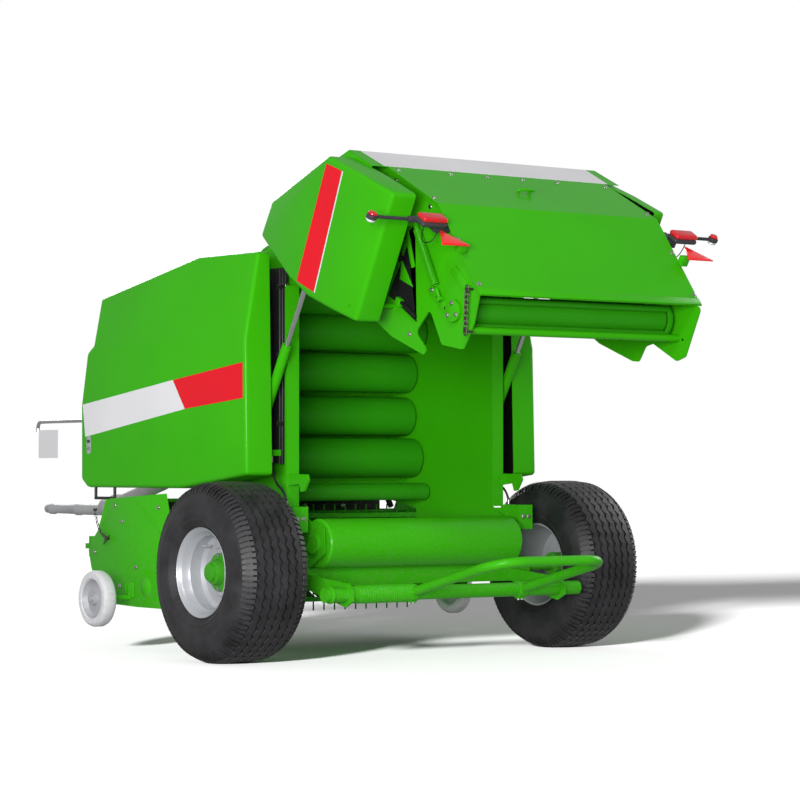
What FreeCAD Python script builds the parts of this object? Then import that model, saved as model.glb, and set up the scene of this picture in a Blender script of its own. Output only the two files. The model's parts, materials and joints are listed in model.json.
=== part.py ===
import FreeCAD, Part
import math
import os
import re
import Sketcher
from FreeCAD import Placement, Rotation, Vector

# Fixed-chamber round baler with its tailgate raised. Millimetres, +X right, +Y forward, +Z up.
# The ground is z = 0. Heights are over the ground, and places along the machine are ahead of the
# axle: every piece is then set back by axle_y, so that the origin is under the machine's middle.

# ---------------------------------------------------------------- driving dimensions
SIZES = {
    # running gear
    "axle_y": -1131.5, "axle_z": 437, "track": 2078, "tyre_width": 404, "tyre_bead": 205,
    "rim_wall": 5, "rim_half": 172, "rim_lip": 12, "dish_in": 20, "dish_out": 62,
    "hub_radius": 62, "hub_flange": 95, "hub_out": 128, "hub_in": 70, "spindle": 30,
    "axle_beam": 90, "axle_rise": 10, "axle_half": 790, "axle_end": 12, "fit": 0.3, "slack": 0.8,
    # bale chamber: a ring of driven rollers between two side walls
    "chamber_y": 90, "chamber_z": 1300, "chamber_radius": 600, "wall_in": 610, "wall": 6,
    "roller_dia": 210, "roller_half": 600, "journal": 25, "boss_radius": 50, "boss": 18,
    "top_angle": 88.4, "front_step": 19, "front_count": 7,
    "post_top": 1840, "starter_y": 610, "starter_z": 815, "starter_dia": 90,
    "floor_y": -100, "floor_z": 570, "floor_dia": 243,
    # slat conveyor in the tailgate
    "sill_y": -320, "sill_z": 655, "sill_dia": 140, "slat": 15, "slat_gap": 22,
    "slat_lap": 1, "slat_count": 26,
    "run_in": 617, "run_out": 689, "run_top": 108, "chain_wide": 14, "chain_deep": 22,
    "post_out": 682, "post_deep": 20, "catch_in": 664, "catch_wall": 12,
    "step_in": 662, "step_out": 752, "step_back": -110, "step_front": 40, "step_low": 625, "step_top": 750,
    "pin_y": 640, "pin_z": 640, "pin_radius": 20, "pin_reach": 665,
    "beam_y": 900, "beam_z": 850, "beam": 120, "sheet_wall": 3, "panel_gap": 2,
    # tailgate
    "open_angle": 58, "gate_wall_in": 640, "gate_wall": 8, "gate_corner": 22,
    "shell_lap": 24, "cross_tube": 18, "cross_y": -290, "cross_z": 531,
    "seam_left": 545, "seam_right": 499,
    "lug_near": 690, "lug_wall": 8,
    # hydraulic cylinders
    "ram_x": 724, "ram_eye_half": 15, "ram_foot_y": 250, "ram_foot_z": 1078, "ram_head_y": 67, "ram_head_z": 1666,
    "barrel_radius": 25, "ram_rod": 13, "barrel_long": 536, "eye_radius": 28, "eye_pin": 14,
    # hoses and lamp cables
    "hose": 6, "hose_x": 700, "hose_y": 150, "hose_top": 1000, "hose_turn": 880, "hose_foot": 22,
    "hose_bend": 50, "port": 13, "port_high": 30,
    "cable": 2.5, "cable_far": 800, "cable_near": 716, "cable_sag": -545, "cable_bend": 22,
    # side guards
    "guard_out": 915, "guard_in": 763, "guard_wall": 4, "guard_top_x": 830, "lean_z": 1570,
    "guard_corner": 40, "guard_edge": 8,
    "lean_top_z": 2003, "standoff": 12,
    "hinge_x": 772, "hinge_z": 1985, "hinge_pin": 8, "hinge_first": 260, "hinge_second": 500,
    "hinge_leaf": 12,
    # drawbar and front gear
    "tongue_half": 60, "eye_y": 3090, "eye_z": 480, "eye_bore": 25, "eye_plate": 30,
    "jack_x": 112, "jack_y": 2000, "jack_tube": 35, "jack_leg": 28, "jack_top": 1010,
    "jack_low": 330, "jack_foot": 90, "jack_foot_thick": 10,
    "gearbox_y": 1500, "gearbox_z": 1000, "gearbox_half": 120,
    "drive_y": 1700, "joint_y": 2845, "joint_z": 725, "nose_y": 3644, "nose_z": 695,
    "shaft_guard": 42, "shaft_nose": 25, "bell": 62, "yoke_bore": 17.5, "yoke_deep": 80,
    "holder_x": -78, "holder_y": 1760, "holder_z": 1226, "holder_radius": 11,
    "holder_hook_y": 3772, "holder_hook_z": 1165, "holder_root": 6, "holder_bend": 60, "hook_bend": 40,
    "tag_long": 236, "tag_low": 1004, "tag_wall": 3,
    # pickup
    "reel_y": 1000, "reel_z": 460, "tine_radius": 285, "band_radius": 225, "tine_pitch": 70,
    "tine_count": 23, "tine_bars": 4, "tine": 6, "bar_radius": 150, "tine_bar": 14, "band": 56,
    "rail_y": 762, "rail_z": 690, "rail": 24, "low_rail_z": 250, "pick_tube_y": 670,
    "pick_tube_z": 440, "pick_tube": 35, "arm_near": 648, "arm_wall": 12, "band_wall": 3,
    "cheek": 945, "cheek_wall": 8, "gauge_pin": 14, "reel_disc": 190, "disc_wall": 8, "reel_shaft": 20,
    "gauge_y": 1080, "gauge_z": 272, "gauge_x": 1150, "gauge_dia": 289, "gauge_width": 74,
    # bale kicker
    "kick_y": -424, "kick_z": 332, "kick_radius": 35, "kick_half": 787, "loop_left": -269,
    "loop_right": 414, "loop_back": 690, "loop_rise": 166, "loop_radius": 24, "loop_bend": 150,
    "stop_far": 505, "stop_near": 365, "stop_front": 30, "stop_low": 288, "kick_arm": 652, "kick_arm_wall": 12,
    "sleeve_left": 642, "sleeve_right": 294,
    "sleeve_radius": 43,
    # lamps and reflectors, in the closed tailgate's place
    "lamp_out": 96, "lamp_y": -635, "lamp_z": 884, "lamp_long": 150, "lamp_high": 80,
    "lamp_deep": 50, "lamp_strap": 35, "marker_x": 1045, "marker_y": -622, "marker_z": 960,
    "marker_radius": 24,
    "marker_arm": 8, "reflector_y": -640, "reflector_out": 75, "reflector_top": 830,
    "reflector_side": 160, "reflector_thick": 8,
}

# Side outlines: each corner is (ahead of the axle, height).
OUTLINES = {
    "wall": {"sill": (300, 540), "pin": (585, 585), "pinfront": (700, 600), "step": (705, 725),
             "beamlow": (970, 775), "beamtop": (975, 920), "nose": (936, 1300),
             "brow": (856, 1657), "crown": (646, 1941), "top": (200, 2078),
             "lug": (66, 2066), "rear": (45, 1960), "waist": (45, 742),
             "knee": (-60, 680), "lobetop": (-180, 650), "lobelow": (-185, 520)},
    "catch": {"root": (60, 850), "under": (-50, 862), "barb": (-66, 822), "point": (-92, 826),
              "nose": (-130, 880), "back": (-118, 908), "crest": (60, 912)},
    "guard": {"top": (84, 2005), "brow": (628, 2013), "front": (1544, 1844), "notch": (1542, 1592),
              "lip": (1601, 1553), "nose": (1664, 1275), "chin": (1662, 880), "toe": (1600, 838),
              "bottom": (676, 837), "heel": (56, 905)},
    "tail": {"top": (22, 2004), "crown": (-172, 2010), "slope": (-623, 1590), "rear": (-673, 1292),
             "low": (-702, 1055), "toe": (-56, 1002), "edge": (23, 1392)},
    "gateleft": {"low": (-330, 504), "tip": (-200, 510), "toe": (-140, 660), "notch": (-235, 825),
                 "throat": (-90, 865), "barb": (-62, 740)},
    "gateright": {"low": (-500, 470), "tip": (-240, 440), "toe": (-190, 483), "notch": (-178, 675),
                  "inlet": (-140, 714), "barb": (-50, 719)},
    "gatewall": {"heel": (-30, 760),
                 "edge": (20, 1020), "front": (20, 1870), "under": (120, 1935),
                 "hook": (175, 1975), "eye": (172, 2050), "top": (125, 2085)},
    "shell": {"front": (2, 2048), "crown": (-180, 2022), "slope": (-635, 1639),
              "rear": (-657, 1435), "low": (-690, 1001), "sill": (-486, 500)},
    "panel": {"skirt": (968, 770), "low": (968, 925), "nose": (930, 1300), "brow": (849, 1654), "crown": (640, 1935)},
    "twine": {"floor": (1480, 1130), "front": (1530, 1480),
              "lid": (1400, 1760), "top": (880, 1800)},
    "tongue": {"knee": (1520, 890), "top": (2900, 540),
               "tip": (3020, 540), "tiplow": (3020, 420), "low": (2860, 420), "elbow": (1480, 770)},
    "cheek": {"rear": (734, 740), "top": (1329, 778), "front": (1400, 640), "nose": (1362, 235),
              "low": (1014, 225), "heel": (779, 225), "tail": (620, 390), "tailtop": (620, 500)},
}
for piece, corners in OUTLINES.items():
    for corner, (ahead, height) in corners.items():
        SIZES[f"{piece}_{corner}_ahead"] = ahead
        SIZES[f"{piece}_{corner}_height"] = height

# What follows from the sizes above.
RELATIONS = {
    "wheel_radius": "axle_z",
    "ring": "chamber_radius + roller_dia / 2",
    "pivot_y": "chamber_y + ring * cos(top_angle)",
    "pivot_z": "chamber_z + ring * sin(top_angle)",
    "axle_top": "axle_z + axle_rise",
    "wall_out": "wall_in + wall",
    "gate_wall_out": "gate_wall_in + gate_wall",
    "shell_half": "gate_wall_out + shell_lap",
    "lamp_x": "shell_half + lamp_out",
    "reflector_x": "shell_half + reflector_out",
    "slat_half": "wall_in - slat_gap",
    "ram_shut_long": "sqrt((ram_foot_y - ram_head_y)^2 + (ram_head_z - ram_foot_z)^2)",
    "ram_open_y": "pivot_y + (ram_head_y - pivot_y) * cos(open_angle) + (ram_head_z - pivot_z) * sin(open_angle)",
    "ram_open_z": "pivot_z - (ram_head_y - pivot_y) * sin(open_angle) + (ram_head_z - pivot_z) * cos(open_angle)",
    "ram_lean": "atan2(ram_foot_y - ram_open_y; ram_open_z - ram_foot_z) / 1 deg",
    "drive_lean": "atan2(gearbox_z - joint_z; joint_y - drive_y) / 1 deg",
    "drive_long": "sqrt((gearbox_z - joint_z)^2 + (joint_y - drive_y)^2)",
}

doc = FreeCAD.newDocument("round_baler")
sheet = doc.addObject("Spreadsheet::Sheet", "sizes")
for row, (alias, value) in enumerate(SIZES.items(), 1):
    sheet.set(f"A{row}", alias)
    sheet.set(f"B{row}", str(value))
    sheet.setAlias(f"B{row}", alias)
doc.recompute()

SIDES = {"left": -1, "right": 1}
subparts = {}


# ---------------------------------------------------------------- building blocks
def ex(formula):
    """Write a formula of size names as FreeCAD reads it from the sheet."""
    def spell(match):
        word = match.group()
        if word in RELATIONS:
            return "(" + ex(RELATIONS[word]) + ")"
        return "sizes." + word if word in SIZES else word
    return re.sub(r"[a-z_]\w*", spell, str(formula))


def size(formula):
    """The present value of a formula."""
    value = sheet.evalExpression(ex(formula))
    return float(getattr(value, "Value", value))


def bind(thing, **formulas):
    for name, formula in formulas.items():
        thing.setExpression(name, ex(formula))
    return thing


def place(thing, x="0", y="0", z="0", axis=None, angle="0"):
    """Stand a thing at a point, turned about an axis through that point."""
    if axis:
        thing.Placement = Placement(Vector(), Rotation(Vector(*axis), 10))
        thing.setExpression("Placement.Rotation.Angle", ex(angle))
    for name, formula in (("x", x), ("y", y), ("z", z)):
        thing.setExpression("Placement.Base." + name, ex(formula))
    return thing


def box(name, x, y, z):
    """A block given by its low and high faces along each axis."""
    block = bind(doc.addObject("Part::Box", name), Length=f"{x[1]} - ({x[0]})",
                 Width=f"{y[1]} - ({y[0]})", Height=f"{z[1]} - ({z[0]})")
    return place(block, x[0], y[0], z[0])


TURNS = {"x": ((0, 1, 0), "90"), "y": ((1, 0, 0), "-90"), "z": (None, "0")}


def cylinder(name, along, centre, span, radius):
    """A cylinder along an axis: centre on the other two axes, span along its own."""
    body = bind(doc.addObject("Part::Cylinder", name), Radius=radius,
                Height=f"{span[1]} - ({span[0]})")
    spot = dict(zip([a for a in "xyz" if a != along], centre))
    spot[along] = span[0]
    axis, angle = TURNS[along]
    return place(body, spot["x"], spot["y"], spot["z"], axis, angle)


def strut(name, foot, lean, length, radius, top_radius=None):
    """A tube in a plane across X: it rises from its foot, leaning back by an angle from upright."""
    kind = "Part::Cylinder" if top_radius is None else "Part::Cone"
    body = doc.addObject(kind, name)
    if top_radius is None:
        bind(body, Radius=radius, Height=length)
    else:
        bind(body, Radius1=radius, Radius2=top_radius, Height=length)
    return place(body, *foot, (1, 0, 0), lean)


def fuse(name, pieces):
    joined = doc.addObject("Part::MultiFuse", name)
    joined.Shapes = pieces
    return joined


def cut(name, base, tool):
    result = doc.addObject("Part::Cut", name)
    result.Base, result.Tool = base, tool
    return result


def group(name, pieces):
    """Solids that don't touch, on one rigid piece of the machine."""
    together = doc.addObject("Part::Compound", name)
    together.Links = pieces
    return together


def new_body(name):
    return doc.addObject("PartDesign::Body", name)


def sketch_on(body, plane, offset="0"):
    """A sketch on one of the body's own origin planes, moved along the plane's normal."""
    sketch = body.newObject("Sketcher::SketchObject", body.Name + "_sketch")
    planes = [f for f in body.Origin.OriginFeatures if f.Role == plane]
    sketch.AttachmentSupport = [(planes[0], "")]
    sketch.MapMode = "FlatFace"
    sketch.setExpression("AttachmentOffset.Base.z", ex(offset))
    return sketch


def polygon(sketch, points):
    """A closed outline whose corners are held to formulas."""
    corners = [Vector(size(a), size(b), 0) for a, b in points]
    first = sketch.GeometryCount
    count = len(corners)
    lines = [Part.LineSegment(corners[i], corners[(i + 1) % count]) for i in range(count)]
    sketch.addGeometry(lines, False)
    sketch.addConstraint([Sketcher.Constraint("Coincident", first + i, 2, first + (i + 1) % count, 1)
                          for i in range(count)])
    for i, (a, b) in enumerate(points):
        for kind, formula, value in (("DistanceX", a, corners[i].x), ("DistanceY", b, corners[i].y)):
            k = sketch.addConstraint(Sketcher.Constraint(kind, -1, 1, first + i, 1, value))
            sketch.setExpression(f"Constraints[{k}]", ex(formula))


def circles(sketch, spots):
    """Circles (across, up, radius) held to formulas."""
    for a, b, radius in spots:
        middle = Vector(size(a), size(b), 0)
        n = sketch.addGeometry(Part.Circle(middle, Vector(0, 0, 1), size(radius)), False)
        for kind, args, formula in (
                ("DistanceX", (-1, 1, n, 3, middle.x), a),
                ("DistanceY", (-1, 1, n, 3, middle.y), b),
                ("Radius", (n, size(radius)), radius)):
            k = sketch.addConstraint(Sketcher.Constraint(kind, *args))
            sketch.setExpression(f"Constraints[{k}]", ex(formula))


def pad(body, sketch, length):
    feature = body.newObject("PartDesign::Pad", body.Name + "_pad")
    feature.Profile = sketch
    return bind(feature, Length=length)


def pocket(body, sketch, depth):
    """Cut towards the sketch's back."""
    feature = body.newObject("PartDesign::Pocket", body.Name + "_pocket")
    feature.Profile = sketch
    return bind(feature, Length=depth)


def revolve(body, sketch):
    feature = body.newObject("PartDesign::Revolution", body.Name + "_turn")
    feature.Profile = sketch
    feature.ReferenceAxis = (sketch, ["H_Axis"])
    feature.Angle = 360
    return feature


def round_corners(body, feature, corners, radius, direction=Vector(1, 0, 0)):
    """Fillet the edges that run along a direction through the given corners (across, up)."""
    doc.recompute()
    spots = [(size(a), size(b)) for a, b in corners]
    names = []
    for number, edge in enumerate(feature.Shape.Edges, 1):
        start, end = edge.Vertexes[0].Point, edge.Vertexes[-1].Point
        if (end - start).cross(direction).Length > 0.01 or (end - start).Length < 1:
            continue
        if any(math.hypot(start.y - a, start.z - b) < 0.5 for a, b in spots):
            names.append(f"Edge{number}")
    fillet = body.newObject("PartDesign::Fillet", body.Name + "_round")
    fillet.Base = (feature, names)
    return bind(fillet, Radius=radius)


def outline(piece, *names):
    """Corners of a named outline, all of them or the ones asked for."""
    names = names or OUTLINES[piece]
    return [(f"{piece}_{n}_ahead", f"{piece}_{n}_height") for n in names]


def from_pivot(points):
    """The same points, measured from the tailgate's pivot."""
    return [(f"{a} - pivot_y", f"{b} - pivot_z") for a, b in points]


def slab(side, near, far):
    """Low face and thickness of a plate on the left or right side."""
    return (near if side > 0 else f"-({far})"), f"{far} - ({near})"


def span(side, near, far):
    return (near, far) if side > 0 else (f"-({far})", f"-({near})")


def ring_spot(angle):
    return f"chamber_y + ring * cos({angle})", f"chamber_z + ring * sin({angle})"


def front_spots():
    return [ring_spot(f"top_angle - front_step * {k}") for k in range(int(SIZES["front_count"]))]


def head_spot():
    """The conveyor's upper shaft, midway between its two runs."""
    return (f"chamber_y + (run_in + run_out) / 2 * cos(run_top)",
            f"chamber_z + (run_in + run_out) / 2 * sin(run_top)")


def swept(points, radius, bends):
    """A round tube along straight runs joined by tangent arcs."""
    edges, here = [], points[0]
    for before, corner, after, bend in zip(points, points[1:], points[2:], bends):
        back, ahead = (before - corner).normalize(), (after - corner).normalize()
        half = back.getAngle(ahead) / 2
        reach = bend / math.tan(half)
        start, end = corner + back * reach, corner + ahead * reach
        middle = corner + (back + ahead).normalize() * (bend / math.sin(half) - bend)
        edges += [Part.LineSegment(here, start).toShape(), Part.Arc(start, middle, end).toShape()]
        here = end
    edges.append(Part.LineSegment(here, points[-1]).toShape())
    path = Part.Wire(edges)
    ends = Part.Circle(points[0], points[1] - points[0], radius).toShape()
    return path.makePipeShell([Part.Wire([ends])], True, False)


def fixed(name, shape):
    """A shape made with Part's own functions, as a document object."""
    thing = doc.addObject("Part::Feature", name)
    thing.Shape = shape
    return thing


def keep(name, thing, y="axle_y", z="0", x="0", turned=False):
    """Name a finished sub-part and stand it in the machine."""
    thing.Label = name
    if turned:
        place(thing, x, "axle_y + pivot_y", "pivot_z", (-1, 0, 0), "open_angle")
    else:
        place(thing, x, y, z)
    subparts[name] = thing
    return thing


# ---------------------------------------------------------------- running gear
def tyre(name, side):
    """Low-pressure flotation tyre, turned about the hub's axis."""
    body = new_body(name)
    half = "tyre_width / 2"
    bead = "(rim_half - 8 - fit)"
    profile = [(f"-{bead}", "tyre_bead"), (f"-{bead}", "tyre_bead + rim_lip + 2"),
               (f"-{half} * 0.97", "tyre_bead + 62"),
               (f"-{half}", "tyre_bead + 120"), (f"-{half} * 0.95", "wheel_radius - 50"),
               (f"-{half} * 0.74", "wheel_radius - 10"), (f"-{half} * 0.35", "wheel_radius"),
               (f"{half} * 0.35", "wheel_radius"), (f"{half} * 0.74", "wheel_radius - 10"),
               (f"{half} * 0.95", "wheel_radius - 50"), (half, "tyre_bead + 120"),
               (f"{half} * 0.97", "tyre_bead + 62"), (bead, "tyre_bead + rim_lip + 2"),
               (bead, "tyre_bead")]
    sketch = sketch_on(body, "XY_Plane")
    polygon(sketch, profile)
    revolve(body, sketch)
    keep(name, body, z="axle_z", x=f"{side} * track / 2")


def rim(name, side):
    """Dished steel rim with its hub, bored for the spindle."""
    body = new_body(name)
    seat = "(tyre_bead - fit)"
    out = "1" if side > 0 else "-1"
    profile = [("-rim_half", f"{seat} + rim_lip"), ("-rim_half", f"{seat} - rim_wall"),
               ("dish_in", f"{seat} - rim_wall"), ("dish_out", "hub_flange + 20"),
               ("dish_out", "hub_radius"), ("-hub_in", "hub_radius"), ("-hub_in", "spindle + fit"),
               ("dish_out + 10", "spindle + fit"), ("dish_out + 10", "0"), ("hub_out", "0"),
               ("hub_out", "hub_radius - 12"), ("dish_out + 22", "hub_radius"),
               ("dish_out + 22", "hub_flange"), ("dish_out + 9", "hub_flange"),
               ("dish_out + 9", "hub_flange + 22"), ("dish_in + 9", f"{seat} - rim_wall"),
               ("rim_half", f"{seat} - rim_wall"), ("rim_half", f"{seat} + rim_lip"),
               ("rim_half - 8", f"{seat} + rim_lip"), ("rim_half - 8", seat),
               ("-rim_half + 8", seat), ("-rim_half + 8", f"{seat} + rim_lip")]
    sketch = sketch_on(body, "XY_Plane")
    polygon(sketch, [(f"{out} * ({a})", b) for a, b in profile])
    revolve(body, sketch)
    keep(name, body, z="axle_z", x=f"{side} * track / 2")


def axle():
    """Square axle beam with end plates, turned spindles and the kicker's arms."""
    half = "axle_beam / 2"
    low = "axle_top - axle_beam"
    pieces = [box("axle_beam_part", ("-axle_half", "axle_half"), (f"-{half}", half), (low, "axle_top"))]
    reach = "track / 2 + dish_out"
    for side_name, side in SIDES.items():
        pieces.append(box("axle_end_" + side_name, span(side, "axle_half - axle_end", "axle_half"),
                          (f"-{half}", half), (low, "axle_z + axle_beam / 2")))
        pieces.append(cylinder("spindle_" + side_name, "x", ("0", "axle_z"),
                               span(side, "axle_half - 2 * axle_end", reach), "spindle"))
        arm = new_body("kicker_arm_" + side_name)
        near, thick = slab(side, "kick_arm", "kick_arm + kick_arm_wall")
        sketch = sketch_on(arm, "YZ_Plane", near)
        polygon(sketch, [(f"-{half} + 10", f"{low} + 5"), (f"-{half} + 10", "axle_top - 22"),
                         ("kick_y - 20", "kick_z + 55"), ("kick_y - 60", "kick_z + 20"),
                         ("kick_y - 60", "kick_z - 30"), ("kick_y", "kick_z - 60")])
        pad(arm, sketch, thick)
        sketch = sketch_on(arm, "YZ_Plane", f"{near} + {thick}")
        circles(sketch, [("kick_y", "kick_z", "kick_radius + fit")])
        pocket(arm, sketch, thick)
        pieces.append(arm)
    pieces.append(box("kicker_stop", ("-stop_far", "-stop_near"), (f"-{half}", "stop_front"),
                      ("stop_low", f"{low} + 1")))
    keep("axle", fuse("axle_whole", pieces))


# ---------------------------------------------------------------- bale chamber
def chamber_wall(name, side):
    """Side wall of the chamber: bearing bosses, rear post, hinge brackets, pickup's pivot pin."""
    body = new_body(name + "_body")
    low, thick = slab(side, "wall_in", "wall_out")
    sketch = sketch_on(body, "YZ_Plane", low)
    foot = "axle_beam / 2"
    corners = [(f"-{foot}", "axle_top + fit"), (foot, "axle_top + fit")] + outline("wall")
    polygon(sketch, corners)
    plate = pad(body, sketch, thick)
    round_corners(body, plate, outline("wall", "nose", "brow", "crown", "top", "lobetop", "lobelow",
                                       "pin", "pinfront"), "20")
    bearings = front_spots() + [("starter_y", "starter_z"), ("floor_y", "floor_z")]
    low, thick = slab(side, "wall_out", "wall_out + boss")
    sketch = sketch_on(body, "YZ_Plane", low)
    circles(sketch, [(a, b, "boss_radius") for a, b in bearings])
    pad(body, sketch, thick)
    low, thick = slab(side, "wall_out", "gate_wall_out + 6")
    sketch = sketch_on(body, "YZ_Plane", low)
    circles(sketch, [("pivot_y", "pivot_z", "boss_radius")])
    pad(body, sketch, thick)
    low, thick = slab(side, "wall_out", "ram_x + ram_eye_half + 4")
    sketch = sketch_on(body, "YZ_Plane", low)
    circles(sketch, [("ram_foot_y", "ram_foot_z", "eye_pin")])
    pad(body, sketch, thick)
    low, thick = slab(side, "wall_out", "pin_reach")
    sketch = sketch_on(body, "YZ_Plane", low)
    circles(sketch, [("pin_y", "pin_z", "pin_radius")])
    pad(body, sketch, thick)
    low, thick = slab(side, "wall_out", "post_out")
    sketch = sketch_on(body, "YZ_Plane", low)
    polygon(sketch, [("wall_waist_ahead", "wall_waist_height"),
                     ("wall_waist_ahead + post_deep", "wall_waist_height"),
                     ("wall_rear_ahead + post_deep", "post_top"),
                     ("wall_rear_ahead", "post_top")])
    pad(body, sketch, thick)
    low, thick = slab(side, "wall_in", "gate_wall_out + 6")
    sketch = sketch_on(body, "YZ_Plane", f"{low} + {thick}")
    circles(sketch, [(a, b, "journal + slack") for a, b in bearings])
    pocket(body, sketch, thick)
    hook = new_body(name + "_catch")
    low, thick = slab(side, "catch_in", "catch_in + catch_wall")
    sketch = sketch_on(hook, "YZ_Plane", low)
    polygon(sketch, outline("catch"))
    pad(hook, sketch, thick)
    neck = box(f"{name}_neck", span(side, "wall_in + 1", "step_in + 5"), ("5", "step_front"),
               ("step_low + 20", "step_top - 15"))
    step = box(f"{name}_step", span(side, "step_in", "step_out"), ("step_back", "step_front"),
               ("step_low", "step_top"))
    port = box(f"{name}_port", span(side, "wall_in + 1", "hose_x + port"), ("hose_y - port", "hose_y + port"),
               ("hose_top", "hose_top + port_high"))
    pieces = [body, hook, neck, step, port]
    for spot in ("hinge_first", "hinge_second"):
        along = (spot, f"{spot} + hinge_leaf")
        pieces.append(box(f"{name}_bracket", span(side, "wall_in + 1", "hinge_x + hinge_pin"), along,
                          ("hinge_z - 60", "hinge_z - 30")))
        pieces.append(box(f"{name}_leaf", span(side, "hinge_x - hinge_pin", "hinge_x + hinge_pin"), along,
                          ("hinge_z - 40", "hinge_z")))
        pieces.append(cylinder(f"{name}_pin", "y", (f"{side} * hinge_x", "hinge_z"),
                               (spot, f"{spot} + 3 * hinge_leaf"), "hinge_pin"))
    keep(name, fuse(name + "_part", pieces))


def roller(name, spot, diameter="roller_dia"):
    """Driven chamber roller: a sheet drum with end discs on a shaft."""
    body = new_body(name + "_body")
    reach = "wall_out + boss"
    radius = f"{diameter} / 2"
    half = "roller_half"
    profile = [(f"-({reach})", "0"), (f"-({reach})", "journal"), (f"-{half}", "journal"),
               (f"-{half}", f"{radius} - 8"), (f"-{half} + 8", radius), (f"{half} - 8", radius),
               (half, f"{radius} - 8"), (half, "journal"), (reach, "journal"), (reach, "0")]
    sketch = sketch_on(body, "XY_Plane")
    polygon(sketch, profile)
    revolve(body, sketch)
    keep(name, body, y=f"axle_y + {spot[0]}", z=spot[1])


def tangent_angle(first, second, crossed):
    """Where a straight run leaves the first circle (centre, radius) for the second."""
    gap = second[0] - first[0]
    sign = 1 if crossed else -1
    lean = math.acos((first[1] + sign * second[1]) / gap.Length)
    return math.atan2(gap.z, gap.y), lean


def folded(points, thickness, left, right):
    """A sheet folded along a line of corners (ahead, height), on their outer side."""
    inner = [Vector(left, size(a), size(b)) for a, b in points]
    runs = [(end - start).normalize() for start, end in zip(inner, inner[1:])]
    normals = [Vector(0, run.z, -run.y) for run in runs]
    outer = []
    for corner, before, after in zip(inner, normals[:1] + normals, normals + normals[-1:]):
        outer.append(corner + (before + after) * (thickness / (1 + before.dot(after))))
    face = Part.Face(Part.makePolygon(inner + outer[::-1] + inner[:1]))
    return face.extrude(Vector(right - left, 0, 0))


def front_beam():
    """Cross beam between the walls, which carries the tongue."""
    side_to_side = ("-wall_in + fit", "wall_in - fit")
    beam = box("front_beam", side_to_side, ("beam_y - beam / 2", "beam_y + beam / 2"),
               ("beam_z - beam / 2", "beam_z + beam / 2"))
    keep("front_beam", beam, y="axle_y + beam_y - beam / 2", z="beam_z - beam / 2", x="-wall_in + fit")


def front_panel():
    shape = folded(outline("panel"), size("sheet_wall"), -size("wall_in - fit"), size("wall_in - fit"))
    half, low, high = size("tongue_half + panel_gap"), size("panel_skirt_height"), size("panel_low_height")
    slot = Part.makeBox(2 * half, size("beam"), high - low, Vector(-half, size("panel_skirt_ahead - beam / 2"), low))
    keep("front_panel", fixed("front_panel_sheet", shape.cut(slot)))


def twine_box():
    """Twine and net box, seated on the front panel."""
    body = new_body("twine_box_body")
    sketch = sketch_on(body, "YZ_Plane", "-wall_in")
    rise = "(panel_nose_height - twine_floor_height) / (panel_nose_height - panel_low_height)"
    seat = "sheet_wall + 2 * fit"
    back = [(f"panel_brow_ahead + {seat}", "panel_brow_height"),
            (f"panel_nose_ahead + {seat}", "panel_nose_height"),
            (f"panel_nose_ahead + (panel_low_ahead - panel_nose_ahead) * {rise} + {seat}",
             "twine_floor_height")]
    polygon(sketch, outline("twine") + back)
    pad(body, sketch, "2 * wall_in")
    keep("twine_box", body)


# ---------------------------------------------------------------- side guards
def soft_edges(body, feature, side):
    """Round the border of a guard's outer faces."""
    names = []
    for number, edge in enumerate(feature.Shape.Edges, 1):
        faces = feature.Shape.ancestorsOfType(edge, Part.Face)
        outward = [face.normalAt(0, 0).x * side > 0.5 for face in faces]
        if len(faces) == 2 and outward[0] != outward[1]:
            names.append(f"Edge{number}")
    fillet = body.newObject("PartDesign::Fillet", body.Name + "_soft")
    fillet.Base = (feature, names)
    return bind(fillet, Radius="guard_edge")


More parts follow.
